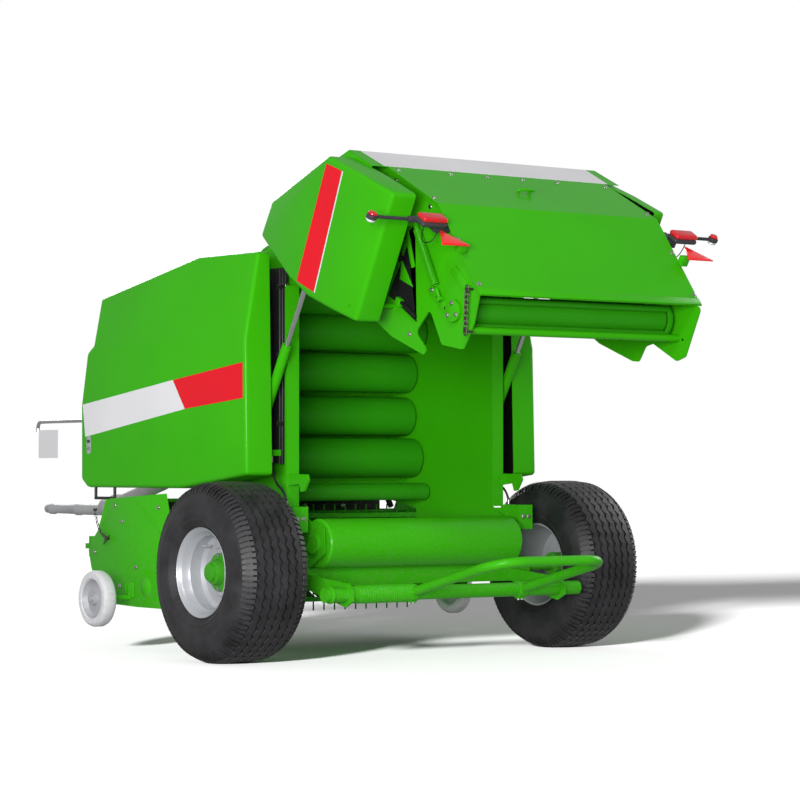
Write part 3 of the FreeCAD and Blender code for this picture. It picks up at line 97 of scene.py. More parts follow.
def math_node(tree, operation, *values):
    """The result of one operation on plain values or links."""
    return add(tree, "ShaderNodeMath", dict(enumerate(values)), operation=operation).outputs[0]


def ranged(tree, value, **limits):
    """A value carried from one range to another."""
    names = {"low": "From Min", "high": "From Max", "start": "To Min", "end": "To Max"}
    values = {names[key]: limit for key, limit in limits.items()}
    return add(tree, "ShaderNodeMapRange", {"Value": value, **values}).outputs[0]


pale, tree, shader = new_material("studio_floor")
seen = add(tree, "ShaderNodeLightPath")
white = ranged(tree, seen.outputs["Is Camera Ray"], start=0.27, end=0.92)
feed(tree, shader, {"Base Color": white, "Roughness": 0.9, "Specular IOR Level": 0.0})
floor.data.materials.append(pale)

world = bpy.data.worlds.new("studio")
bpy.context.scene.world = world
world.use_nodes = True
tree = world.node_tree
seen = add(tree, "ShaderNodeLightPath")
around = ranged(tree, seen.outputs["Is Glossy Ray"], start=0.34, end=0.42)
bright = math_node(tree, "MAXIMUM", around, seen.outputs["Is Camera Ray"])
feed(tree, tree.nodes["Background"], {"Color": (1, 1, 1, 1), "Strength": bright})


def lamp(name, place, aim, size, power, on_floor, kind="AREA"):
    """A soft box or a sun that faces a point and lights either the machine or the floor."""
    light = bpy.data.objects.new(name, bpy.data.lights.new(name, kind))
    bpy.context.scene.collection.objects.link(light)
    light.location = place
    light.rotation_euler = (Vector(aim) - Vector(place)).to_track_quat("-Z", "Y").to_euler()
    if kind == "SUN":
        light.data.angle = radians(size)
    else:
        light.data.size = size
    light.data.energy = power
    lit = bpy.data.collections.new(name + "_lights")
    lit.objects.link(floor)
    light.light_linking.receiver_collection = lit
    if not on_floor:
        lit.collection_objects[0].light_linking.link_state = "EXCLUDE"


lamp("shadow_sun", (-7.8, -6.0, 2.2), (0, 0, 0), 5, 12.0, True, "SUN")
lamp("sun", (-5.0, -5.5, 6.5), (0, 0, 0), 14, 0.7, False, "SUN")
lamp("fill", (-10.2, -10.6, 1.2), (0, -0.5, 1.2), 5.0, 2100, False)
lamp("front", (3.0, 8.5, 6.0), (0, 0.5, 1.0), 4.0, 420, False)
lamp("right", (7.5, -1.0, 4.0), (0, 0, 1.0), 4.0, 260, False)

# ---------------- painted steel
# Welded and folded sheet steel in gloss green, baked on after welding. The paint has the faint
# orange peel of a sprayed coat, and field dust lies low down.
GREEN = (0.042, 0.44, 0.003)


def effect_group(name, inputs, outputs):
    """An empty shader node group with named sockets."""
    tree = bpy.data.node_groups.new(name, "ShaderNodeTree")
    for title, kind, value in inputs:
        socket = tree.interface.new_socket(title, in_out="INPUT", socket_type="NodeSocket" + kind)
        socket.default_value = value
    for title, kind in outputs:
        tree.interface.new_socket(title, in_out="OUTPUT", socket_type="NodeSocket" + kind)
    return tree, tree.nodes.new("NodeGroupInput"), tree.nodes.new("NodeGroupOutput")


def noise(tree, scale, detail=2.0, rough=0.5):
    """Noise laid out in the piece's own coordinates."""
    place = add(tree, "ShaderNodeTexCoord").outputs["Object"]
    return add(tree, "ShaderNodeTexNoise",
               {"Vector": place, "Scale": scale, "Detail": detail, "Roughness": rough}).outputs["Fac"]


def bumped(tree, shader, height, strength, distance):
    """Raise a finish by a height value."""
    bump = add(tree, "ShaderNodeBump", {"Height": height, "Strength": strength, "Distance": distance})
    feed(tree, shader, {"Normal": bump.outputs[0]})


tree, given, result = effect_group(
    "sprayed_coat",
    [("Paint", "Color", (*GREEN, 1)), ("Dust", "Float", 0.25), ("Peel", "Float", 0.3),
     ("Gloss", "Float", 0.25)],
    [("Color", "Color"), ("Roughness", "Float"), ("Height", "Float")])
place = add(tree, "ShaderNodeTexCoord").outputs["Object"]
cloud, speck, peel = noise(tree, 1.7, 4.0), noise(tree, 60.0, 5.0, 0.65), noise(tree, 330.0, 1.0)
height = add(tree, "ShaderNodeSeparateXYZ", {"Vector": place}).outputs["Z"]
near_ground = ranged(tree, height, low=1.0, high=0.1)
dusty = math_node(tree, "MULTIPLY", near_ground, ranged(tree, speck, low=0.45, high=0.75))
dusty = math_node(tree, "MULTIPLY", dusty, given.outputs["Dust"])
shift = ranged(tree, cloud, low=0.0, high=1.0, start=0.88, end=1.1)
tint = add(tree, "ShaderNodeVectorMath", {0: given.outputs["Paint"], "Scale": shift}, operation="SCALE")
FIRST, SECOND, MIXED = 6, 7, 2        # the Mix node's colour sockets
coat = add(tree, "ShaderNodeMix", {"Factor": dusty, FIRST: tint.outputs[0], SECOND: (0.33, 0.29, 0.2, 1)},
           data_type="RGBA")
smear = math_node(tree, "MULTIPLY_ADD", cloud, 0.1, given.outputs["Gloss"])
feed(tree, result, {"Color": coat.outputs[MIXED],
                    "Roughness": math_node(tree, "MULTIPLY_ADD", dusty, 0.6, smear),
                    "Height": math_node(tree, "MULTIPLY", peel, given.outputs["Peel"])})
COAT = tree


def painted(name, colour, dust=0.25, peel=0.3, gloss=0.24, metallic=0.0):
    """A gloss coat: the shared effect feeds colour, roughness and a fine bump."""
    material, tree, shader = new_material(name)
    effect = add(tree, "ShaderNodeGroup", {"Paint": (*colour, 1), "Dust": dust, "Peel": peel, "Gloss": gloss},
                 node_tree=COAT).outputs
    bumped(tree, shader, effect["Height"], 0.12, 0.001)
    feed(tree, shader, {"Base Color": effect["Color"], "Roughness": effect["Roughness"], "Metallic": metallic,
                        "Coat Weight": 0.06, "Coat Roughness": 0.08, "Specular IOR Level": 0.1})
    return material


def clad(piece, *materials):
    """Give a piece its finishes in place of what it had."""
    piece.data.materials.clear()
    for material in materials:
        piece.data.materials.append(material)


def dress(names, material):
    """Give CAD nodes a finish."""
    for name in names.split():
        clad(nodes[name], material)


green = painted("green_coat", GREEN)
dress("axle front_beam front_panel twine_box tongue jack kicker chamber_wall_left chamber_wall_right", green)
dress("gate_wall_left gate_wall_right rear_shell gate_tube tail_guard_left tail_guard_right", green)
dress("guard_left guard_right pickup_frame ram_barrel_left ram_barrel_right lamps", green)
film_white = painted("white_film", (0.8, 0.8, 0.82), dust=0.15, peel=0.1)
film_red = painted("red_film", (0.8, 0.01, 0.022), dust=0.15, peel=0.1)

# ---------------- working parts
# The chamber rollers, conveyor and pickup reel get a darker copy of the same green, with more
# dust: painted shade where they sit. The gearbox and the drawbar eye are painted castings.
# A darker copy of the green: painted shade.
shade_green = painted("dusty_shaded_green", (0.03, 0.33, 0.006), dust=0.4, gloss=0.34)
rollers = " ".join(f"front_roller_{k}" for k in range(1, 8))
dress(rollers + " starter_roller conveyor sill_roller conveyor_shaft pickup_reel pickup_strippers", shade_green)
dress("floor_roller", green)
cast = painted("casting_green", (0.04, 0.33, 0.008), peel=1.0, gloss=0.38)
dress("gearbox hitch_eye", cast)

# ---------------- bright and bare metal
# Steel that is left bright: ground and chromed piston rods, a polished hose holder, and the
# jack's zinc plated leg. Bolts, clips and chains share the effect.
tree, given, result = effect_group(
    "drawn_metal",
    [("Metal", "Color", (0.6, 0.6, 0.62, 1)), ("Gloss", "Float", 0.2), ("Grain", "Float", 90.0)],
    [("Color", "Color"), ("Roughness", "Float")])
fade = ranged(tree, noise(tree, 6.0, 3.0), low=0.3, high=0.7, start=0.85, end=1.0)
tone = add(tree, "ShaderNodeVectorMath", {0: given.outputs["Metal"], "Scale": fade}, operation="SCALE")
grain = noise(tree, given.outputs["Grain"], 3.0)
shine = math_node(tree, "MULTIPLY_ADD", grain, 0.12, given.outputs["Gloss"])
feed(tree, result, {"Color": tone.outputs[0], "Roughness": shine})
DRAWN = tree


def bare_metal(name, colour, gloss, grain=90.0):
    """Drawn or plated steel: the shared effect feeds colour and roughness."""
    material, tree, shader = new_material(name)
    effect = add(tree, "ShaderNodeGroup", {"Metal": (*colour, 1), "Gloss": gloss, "Grain": grain},
                 node_tree=DRAWN).outputs
    feed(tree, shader, {"Base Color": effect["Color"], "Roughness": effect["Roughness"], "Metallic": 1.0})
    return material


chrome = bare_metal("chromed_rod", (0.72, 0.72, 0.74), 0.06)
zinc = bare_metal("zinc_plate", (0.55, 0.55, 0.53), 0.28, 40.0)
dress("ram_rod_left ram_rod_right hose_holder", chrome)
dress("jack_leg", zinc)

# ---------------- tyres
# Low-pressure implement tyres of black rubber: a smooth carcass with moulded rings on the side
# wall, six zigzag ribs round the tread, and a comb of bars over each shoulder.
TYRE_R, TYRE_HALF, BEAD = 0.437, 0.202, 0.205
HUB_X = 1.039
SIDES = (("left", -1), ("right", 1))
PITCHES, TREAD = 48, 0.01
SHOULDER = (0.134, 0.168, 0.186)


def fresh():
    """Leave edit mode and let go of everything that is selected."""
    if bpy.context.object and bpy.context.object.mode != "OBJECT":
        bpy.ops.object.mode_set(mode="OBJECT")
    bpy.ops.object.select_all(action="DESELECT")


def closed_line(points):
    """A circle primitive whose corners are set to a closed outline of (x, y, z) points."""
    fresh()
    bpy.ops.mesh.primitive_circle_add(vertices=len(points), fill_type="NOTHING")
    piece = bpy.context.object
    for corner, place in zip(piece.data.vertices, points):
        corner.co = place
    return piece


def all_picked(piece):
    """Edit a piece with everything in it picked."""
    bpy.context.view_layer.objects.active = piece
    bpy.ops.object.mode_set(mode="EDIT")
    bpy.ops.mesh.select_all(action="SELECT")


def outward(piece):
    """Turn the faces outward and end the edit."""
    bpy.ops.mesh.select_all(action="SELECT")
    bpy.ops.mesh.normals_make_consistent(inside=False)
    bpy.ops.object.mode_set(mode="OBJECT")
    return piece


def swept(piece, shift, then=None):
    """Fill an outline, carry it along a shift, and do one more thing to the new end."""
    all_picked(piece)
    bpy.ops.mesh.edge_face_add()
    bpy.ops.mesh.extrude_region_move(TRANSFORM_OT_translate={"value": shift})
    if then:
        then()
    return outward(piece)


def turned(profile, centre, steps, sign=1):
    """A closed (x, radius) profile spun about an axis along X through a centre."""
    piece = closed_line([(sign * x, 0, r) for x, r in profile])
    all_picked(piece)
    bpy.ops.mesh.spin(steps=steps, angle=tau, center=(0, 0, 0), axis=(1, 0, 0))
    bpy.ops.mesh.select_all(action="SELECT")
    bpy.ops.mesh.remove_doubles(threshold=0.00002)
    outward(piece).data.transform(Matrix.Translation(centre))
    return piece


def join(pieces):
    """One object from several."""
    fresh()
    for piece in pieces:
        piece.select_set(True)
    bpy.context.view_layer.objects.active = pieces[0]
    if len(pieces) > 1:
        bpy.ops.object.join()
    return pieces[0]


def finish(pieces, name, body, material, smooth=32):
    """Join, name and smooth pieces, with a body and a finish. A cover with its painted inner shade keeps its
    two.
    """
    piece = join(pieces if isinstance(pieces, list) else [pieces])
    piece.name = name
    piece.data.name = name
    bpy.ops.object.shade_smooth_by_angle(angle=radians(smooth))
    if material:
        clad(piece, material)
    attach(piece, body)
    return piece


def copied(piece, matrix):
    """A copy with its own mesh, moved by a matrix."""
    twin = piece.copy()
    twin.data = piece.data.copy()
    bpy.context.scene.collection.objects.link(twin)
    twin.data.transform(matrix)
    return twin


def block(top, depth, towards):
    """A tread block: its top corners, sunk towards the carcass."""
    return swept(closed_line(top), Vector(towards) * depth,
                 lambda: bpy.ops.transform.resize(value=(1.08, 1.08, 1)))


def crown(x):
    """The tread's radius across the tyre: it drops in three straight falls towards the shoulder."""
    across = abs(x) / TYRE_HALF
    falls = ((0.35, 0.74, 0.01), (0.74, 0.9, 0.026), (0.9, 1.0, 0.09))
    return TYRE_R - sum(drop * min(1, max(0, (across - start) / (end - start))) for start, end, drop in falls)


def on_tread(x, turn, sink=0.0):
    """A point on the tread, at a turn round the tyre."""
    radius = crown(x) - sink
    return (x, radius * sin(turn), radius * cos(turn))


def mottled(tree, shader, value, *stops):
    """Colour from a ramp of (place, colour) stops along a noise value."""
    tone = add(tree, "ShaderNodeValToRGB", {"Fac": value})
    for element, (place, colour) in zip(tone.color_ramp.elements, stops):
        element.position, element.color = place, (*colour, 1)
    feed(tree, shader, {"Base Color": tone.outputs["Color"]})


# Tyre rubber; the same black also makes the discs of painted shade in a rim's hole and a strap's slots.
rubber_and_shade, tree, shader = new_material("tyre_rubber_and_shade")
bloom = noise(tree, 9.0, 6.0, 0.6)
mottled(tree, shader, bloom, (0.35, (0.0125, 0.012, 0.0135)), (0.7, (0.032, 0.03, 0.034)))
feed(tree, shader, {"Roughness": ranged(tree, bloom, low=0.3, high=0.7, start=0.42, end=0.62)})
bumped(tree, shader, noise(tree, 700.0), 0.25, 0.0006)

wall_line = [(0.035, TYRE_R - TREAD), (0.1, TYRE_R - TREAD - 0.003), (0.148, TYRE_R - TREAD - 0.01),
             (0.172, TYRE_R - 0.04), (0.186, TYRE_R - 0.058), (0.194, TYRE_R - 0.082),
             (0.1985, 0.338), (0.2005, 0.33), (0.1995, 0.322), (0.2018, 0.3), (0.2, 0.272),
             (0.1965, 0.262), (0.1975, 0.256), (0.192, 0.248), (0.18, 0.234), (0.17, 0.222),
             (0.1637, 0.212), (0.1637, BEAD)]
inner_line = [(0.15, BEAD + 0.006), (0.165, 0.25), (0.172, 0.31), (0.16, 0.37), (0.12, 0.405), (0.05, 0.412)]
half = wall_line + inner_line
carcass_line = half + [(-x, r) for x, r in reversed(half)]
pitch_turn = tau / PITCHES
slices = []
edges = [(0.0, 0.006, 0.0125), (0.5, -0.006, 0.0185), (1.0, 0.006, 0.0125)]   # turn, swing, half width
for rib in range(6):
    middle = (rib - 2.5) * 0.0435
    left = [on_tread(middle + swing - wide, part * pitch_turn) for part, swing, wide in edges]
    right = [on_tread(middle + swing + wide, part * pitch_turn) for part, swing, wide in reversed(edges)]
    slices.append(block(left + right, TREAD, (0, 0, -1)))
for sign in (-1, 1):
    for step in (0.04, 0.54):
        start, end = step * pitch_turn, (step + 0.33) * pitch_turn
        top = [on_tread(sign * x, start, -0.001) for x in SHOULDER]
        top += [on_tread(sign * x, end, -0.001) for x in reversed(SHOULDER)]
        slices.append(block(top, 0.012, (-0.5 * sign, 0, -0.9)))
one_pitch = join(slices)
for side, sign in SIDES:
    hub = Vector((sign * HUB_X, AXLE, TYRE_R))
    carcass = turned(carcass_line, hub, 96)
    ring = [copied(one_pitch, Matrix.Translation(hub) @ Matrix.Rotation(k * pitch_turn, 4, "X"))
            for k in range(PITCHES)]
    tyre = finish([carcass] + ring, "tyre_tread_" + side, "wheel_" + side, rubber_and_shade, 28)
    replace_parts(tyre, "tyre_" + side)
bpy.data.objects.remove(one_pitch)

# ---------------- wheels
# Pressed steel rims, rolled and welded, in silver paint: an outer flange, a stepped well and a
# deep disc, bolted with six studs to a green cast hub.
silver = painted("silver_coat", (0.46, 0.47, 0.5), dust=0.15, gloss=0.3, metallic=0.25)
rim_line = [(-0.172, 0.216), (-0.168, 0.206), (-0.15, 0.2), (-0.12, 0.188), (0.02, 0.186), (0.034, 0.16),
            (0.036, 0.118), (0.05, 0.108), (0.052, 0.064), (0.06, 0.064), (0.062, 0.112), (0.046, 0.124),
            (0.044, 0.16), (0.06, 0.178), (0.118, 0.18), (0.132, 0.19), (0.152, 0.196), (0.164, 0.203),
            (0.171, 0.213), (0.176, 0.2165), (0.172, 0.2185), (0.162, 0.208), (0.15, 0.2046),
            (-0.15, 0.2046), (-0.162, 0.208)]
hub_line = [(-0.07, 0.031), (-0.07, 0.06), (0.05, 0.061), (0.053, 0.094), (0.066, 0.094), (0.074, 0.064),
            (0.108, 0.056), (0.112, 0.046), (0.128, 0.042), (0.131, 0.03), (0.131, 0.001), (0.1, 0.001),
            (0.1, 0.031)]


def applied(piece, kind, **settings):
    """Put a modifier on a piece and apply it."""
    modifier = piece.modifiers.new("change", kind)
    for key, value in settings.items():
        setattr(modifier, key, value)
    bpy.context.view_layer.objects.active = piece
    bpy.ops.object.modifier_apply(modifier="change")
    return piece


def bevelled(piece, width, segments=2, angle=30):
    """Round a piece's sharp edges."""
    if width:
        applied(piece, "BEVEL", width=width, segments=segments, limit_method="ANGLE",
                angle_limit=radians(angle))
    return piece


def stub(centre, direction, radius, depth, sides, edge=0.0015):
    """A short round or hexagonal piece that stands on a point."""
    fresh()
    direction = Vector(direction).normalized()
    bpy.ops.mesh.primitive_cylinder_add(vertices=sides, radius=radius, depth=depth,
                                        location=Vector(centre) + direction * depth / 2,
                                        rotation=direction.to_track_quat("Z", "Y").to_euler())
    bpy.ops.object.transform_apply(location=True, rotation=True, scale=True)
    return bevelled(bpy.context.object, edge)


one_bolt = join([stub((0, 0, 0), (0, 0, 1), 0.012, 0.002, 20, 0.0006),
                 stub((0, 0, 0.001), (0, 0, 1), 0.0085, 0.007, 6, 0.0008)])


def stood(place, direction, axes="ZY"):
    """The matrix that stands a piece on a point, with its first axis along a direction."""
    return Matrix.Translation(place) @ Vector(direction).to_track_quat(*axes).to_matrix().to_4x4()


def bolts(name, body, spots, scale=1.0):
    """Bolt heads with washers, each at a point and square to a direction."""
    heads = [copied(one_bolt, stood(*seat) @ Matrix.Scale(scale, 4)) for seat in spots]
    finish(heads, name, body, zinc)


for side, sign in SIDES:
    hub = Vector((sign * HUB_X, AXLE, TYRE_R))
    pan = turned(rim_line, hub, 96, sign)
    valve = stub(hub + Vector((sign * 0.06, 0.085, 0.125)), (sign, 0, 0), 0.006, 0.045, 16)
    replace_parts(finish([pan, valve], "rim_pan_" + side, "wheel_" + side, silver), "rim_" + side)
    finish(turned(hub_line, hub, 48, sign), "hub_" + side, "wheel_" + side, cast)
    studs = [(hub + Vector((sign * 0.066, 0.079 * sin(t), 0.079 * cos(t))), (sign, 0, 0))
             for t in (tau * k / 6 for k in range(6))]
    bolts("wheel_studs_" + side, "wheel_" + side, studs, 1.3)
    # A thin black disc on the rim is painted shade, standing for a hole through the disc.
    hole_shade = stub(hub + Vector((sign * 0.0625, -0.045, 0.137)), (sign, 0, 0), 0.013, 0.002, 24)
    finish(hole_shade, "rim_hole_shade_" + side, "wheel_" + side, rubber_and_shade)

# ---------------- side guards
# Moulded covers of green plastic, 4 mm thick, made in a heated mould: a flat face with round
# borders, whose upper part leans in. Blank film stripes are laid on with a squeegee.
DEEP, FACE, LEAN_X, LEAN_FROM, LEAN_TO = 0.763, 0.915, 0.83, 1.57, 2.003
SIDE_LINE = [(0.084, 2.005), (0.628, 2.013), (1.544, 1.844), (1.542, 1.592), (1.601, 1.553), (1.664, 1.275),
             (1.662, 0.88), (1.6, 0.838), (0.676, 0.837), (0.056, 0.905)]
TAIL_LINE = [(0.022, 2.004), (-0.172, 2.01), (-0.623, 1.59), (-0.673, 1.292), (-0.702, 1.055),
             (-0.056, 1.002), (0.023, 1.392)]
joint = [j for j in frame["joints"] if j["name"] == "tailgate_swing"][0]
PIVOT = Vector(joint["pos_m"])
RAISED = radians(max(joint["range_deg"]))
GATE = Matrix.Translation(PIVOT) @ Matrix.Rotation(-RAISED, 4, "X") @ Matrix.Translation(-PIVOT)


def lean_in(height):
    """How far the guards' face stands from the middle at a height."""
    return FACE - max(0.0, height - LEAN_FROM) * (FACE - LEAN_X) / (LEAN_TO - LEAN_FROM)


def plate(points, near, far, edge=0.0):
    """A flat piece: an outline (ahead of the axle, height) carried across from near to far."""
    piece = closed_line([(near, ahead + AXLE, height) for ahead, height in points])
    return bevelled(swept(piece, (far - near, 0, 0)), edge)


def scored(piece, start, end):
    """Cut a fold line across a plate through two points (ahead, height)."""
    all_picked(piece)
    across = Vector((0, end[0] - start[0], end[1] - start[1])).cross(Vector((1, 0, 0)))
    bpy.ops.mesh.bisect(plane_co=(0, start[0] + AXLE, start[1]), plane_no=across)
    bpy.ops.object.mode_set(mode="OBJECT")


# The covers' inside is painted near black: painted shade inside the covers and in the gaps behind them.
inner_shade = painted("black_inner_shade", (0.01, 0.01, 0.011), dust=0.5, peel=2.0, gloss=0.7)


def moulding(points, sign, folds, soft):
    """A dished cover, open towards the machine, with its face folded along given lines."""
    piece = plate(points, sign * DEEP, sign * FACE)
    scored(piece, (0, LEAN_FROM), (1, LEAN_FROM))
    for start, end, drop in folds:
        scored(piece, start, end)
    for corner in piece.data.vertices:
        ahead, height = corner.co.y - AXLE, corner.co.z
        if abs(corner.co.x) < FACE - 0.01:
            continue
        depth = lean_in(height)
        for start, end, drop in folds:
            level = start[1] + (ahead - start[0]) * (end[1] - start[1]) / (end[0] - start[0])
            depth -= drop * max(0.0, level - height)
        corner.co.x = sign * depth
    return opened(piece, DEEP + 0.005, soft)


def opened(piece, depth, soft):
    """Open a cover towards the machine, round its borders and give it a wall, with its inside painted black
    as shade.
    """
    bpy.ops.object.mode_set(mode="EDIT")
    bpy.ops.mesh.select_all(action="DESELECT")
    bpy.ops.object.mode_set(mode="OBJECT")
    for face in piece.data.polygons:
        face.select = abs(face.center.x) < depth
    bpy.ops.object.mode_set(mode="EDIT")
    bpy.ops.mesh.select_mode(type="FACE")
    bpy.ops.mesh.delete(type="FACE")
    bpy.ops.mesh.select_mode(type="VERT")
    bpy.ops.object.mode_set(mode="OBJECT")
    clad(bevelled(piece, soft, 5, 25), green, inner_shade)
    return applied(piece, "SOLIDIFY", thickness=0.004, offset=-1, material_offset=1)


def film(name, body, points, sign, material):
    """A film stripe on a cover's face, bent where the face leans in."""
    piece = plate(points, sign * (FACE + 0.0004), sign * (FACE + 0.001))
    scored(piece, (0, LEAN_FROM), (1, LEAN_FROM))
    for corner in piece.data.vertices:
        corner.co.x += sign * (lean_in(corner.co.z) - FACE)
    if body == "tailgate":
        piece.data.transform(GATE)
    finish(piece, name, body, material)


def on_gate(pieces, name, material, smooth=32):
    """Join pieces that are laid out with the tailgate closed, and lift them as it is lifted at rest."""
    piece = join(pieces)
    piece.data.transform(GATE)
    return finish(piece, name, "tailgate", material, smooth)


def rod(start, end, radius, sides, edge=0.0):
    """A round bar between two points."""
    start, end = Vector(start), Vector(end)
    return stub(start, end - start, radius, (end - start).length, sides, edge)


def spot(x, ahead, height):
    """A point from its distance ahead of the axle."""
    return Vector((x, ahead + AXLE, height))


def bar(start, end, *shape):
    """A rod between two points given as (x, ahead of the axle, height)."""
    return rod(spot(*start), spot(*end), *shape)


def brick(low, high, edge, segments=3):
    """A block between two corners given as (x, ahead of the axle, height), with round edges."""
    a, b = spot(*low), spot(*high)
    fresh()
    bpy.ops.mesh.primitive_cube_add(size=1, location=(a + b) / 2)
    piece = bpy.context.object
    piece.scale = [abs(c) for c in b - a]
    bpy.ops.object.transform_apply(location=True, rotation=True, scale=True)
    return bevelled(piece, edge, segments)


TAIL_FOLDS = [((-0.637, 1.222), (-0.026, 1.183), 0.1)]
for side, sign in SIDES:
    cover = moulding(SIDE_LINE, sign, [], 0.026)
    straps = [brick((sign * 0.76, a, 1.971), (sign * 0.784, a + 0.012, 2.004), 0) for a in (0.273, 0.513)]
    cover = finish([cover] + straps, "side_cover_" + side, "side_guard_" + side, None, smooth=40)
    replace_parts(cover, "guard_" + side)
    film("stripe_white_" + side, "side_guard_" + side,
         [(1.64, 1.279), (0.734, 1.387), (0.619, 1.238), (1.612, 1.107)], sign, film_white)
    film("stripe_red_" + side, "side_guard_" + side,
         [(0.732, 1.387), (0.088, 1.458), (0.086, 1.282), (0.617, 1.238)], sign, film_red)

WALL_OUT = 0.6483                 # the outside of the side walls
POSTS = ((-0.52, 1.12), (-0.11, 1.08), (-0.18, 1.8))
SHALLOW_NEAR, SHALLOW_FACE = 0.6983, 0.7627


def tail_cover(side, cover, posts):
    """Set a tail cover on its posts and lift it with the gate."""
    for post in posts:
        post.data.materials.append(green)
    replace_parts(on_gate([cover] + posts, "tail_cover_" + side, None, smooth=40), "tail_guard_" + side)


posts = [bar((-WALL_OUT, a, h), (-(lean_in(h) - 0.006), a, h), 0.012, 24) for a, h in POSTS]
# A flange turned down from the hood closes the step above the guard
posts.append(plate([(0.0, 2.047), (-0.18, 2.021), (-0.634, 1.638), (-0.655, 1.44), (-0.61, 1.44),
                    (-0.59, 1.6), (-0.17, 1.96), (0.0, 1.985)], -0.756, -0.7622))
tail_cover("left", moulding(TAIL_LINE, -1, TAIL_FOLDS, 0.022), posts)
film("tail_stripe", "tailgate", [(-0.587, 1.576), (0.0, 1.499), (-0.024, 1.346), (-0.615, 1.444)],
     -1, film_red)
film("tail_edge", "tailgate", [(-0.615, 1.442), (-0.024, 1.344), (-0.025, 1.336), (-0.616, 1.434)],
     -1, film_white)
posts = [bar((WALL_OUT, a, h), (SHALLOW_FACE - 0.0037, a, h), 0.012, 24) for a, h in POSTS]
shallow = plate(TAIL_LINE, SHALLOW_NEAR, SHALLOW_FACE)
tail_cover("right", opened(shallow, SHALLOW_NEAR + 0.005, 0.014), posts)

# ---------------- tailgate shell
# Folded sheet steel, bolted through its borders to the side walls: a blank white film along the
# top facet, a bent handle in the middle and a strip along the sill.
SHELL_LINE = [(-0.635, 1.639), (-0.657, 1.435), (-0.69, 1.001), (-0.486, 0.5)]
SHEET = 0.003


def on_shell(height, lift=SHEET):
    """How far back the shell's rear facets are at a height, and the way that they face."""
    for (a, high), (b, low) in zip(SHELL_LINE, SHELL_LINE[1:]):
        if low <= height <= high:
            normal = Vector((0, low - high, a - b)).normalized()
            ahead = a + (b - a) * (height - high) / (low - high)
            return ahead + normal.y * lift, height + normal.z * lift, normal


def shell_strip(name, corners, material, gap, thick, edge=0.0):
    """A film or a strip on one facet of the shell, with its corners as (x, height)."""
    strip = closed_line([spot(x, *on_shell(h, gap)[:2]) for x, h in corners])
    swept(strip, on_shell(corners[0][1] - 0.01)[2] * thick)
    return on_gate([bevelled(strip, edge)], name, material)


shell_strip("shell_film", [(-0.7, 1.637), (0.7, 1.637), (0.69, 1.437), (-0.69, 1.437)], film_white,
            SHEET + 0.0002, 0.0008)
seats = [(x, 1.392) for x in (-0.64, -0.33, -0.11, 0.11, 0.33, 0.64)]
seats += [(sign * 0.655, h) for sign in (-1, 1) for h in (1.06, 0.8, 0.56)]
heads = []
for x, height in seats:
    ahead, up, normal = on_shell(height)
    heads.append((GATE @ spot(x, ahead, up), GATE.to_3x3() @ normal))
bolts("shell_bolts", "tailgate", heads)
grip = []
for x in (-0.034, 0.034):
    ahead, up, normal = on_shell(1.235)
    foot = spot(x, ahead, up)
    top = spot(x, on_shell(1.205)[0], 1.205) + normal * 0.022
    grip.append(rod(foot, top, 0.0065, 16, 0.002))
grip.append(rod(top + Vector((0.006, 0, 0)), top - Vector((0.074, 0, 0)), 0.0065, 16, 0.002))
on_gate(grip, "shell_handle", green)
shell_strip("sill_strip", [(-0.672, 0.54), (0.672, 0.54), (0.672, 0.502), (-0.672, 0.502)], green,
            SHEET, 0.006, 0.002)

# ---------------- tailgate side gear
# What is bolted to the gate's side walls: the conveyor tensioner's coil spring, a strap whose slots
# are black discs of painted shade, a chain, bearing housings, and black bars beside a black sheet
# with bent stays that is painted shade in the gap behind the tail guard.
chain_steel = bare_metal("chain_steel", (0.16, 0.14, 0.12), 0.45)
# Black rubber; the same black is also painted shade on sheets put into dark gaps.
black_rubber_and_shade = painted("black_rubber_and_shade", (0.012, 0.012, 0.013), dust=0.6, peel=1.5, gloss=0.5)


def round_line(across, up, wire, sides):
    """The points of a wire's round section in the XZ plane."""
    turns = [k * tau / sides for k in range(sides)]
    return [(across + wire * cos(t), 0, up + wire * sin(t)) for t in turns]


def wound(section, axis, pitch, coils, steps):
    """A coil spring: a wire's section wound about an axis."""
    return applied(closed_line(section), "SCREW", axis=axis, angle=tau, screw_offset=pitch, steps=steps,
                   render_steps=steps, iterations=coils, use_merge_vertices=False)


one_link = turned([(x, r) for x, _, r in round_line(0, 0.011, 0.003, 10)], (0, 0, 0), 24)
one_link.data.transform(Matrix.Scale(1.5, 4, (0, 0, 1)))
one_coil = wound(round_line(0.0165, 0, 0.0028, 8), "Z", 0.0078, 38, 20)


def links(start, end, count, scale=1.0, sag=(0, 0, 0)):
    """Chain links between two points, every other one a quarter turn round."""
    chain = []
    for k in range(count):
        part = k / (count - 1)
        place = start.lerp(end, part) + Vector(sag) * sin(pi * part)
        quarter = Matrix.Rotation(pi / 2 * (k % 2), 4, "Z")
        chain.append(copied(one_link, stood(place, end - start) @ quarter @ Matrix.Scale(scale, 4)))
    return chain


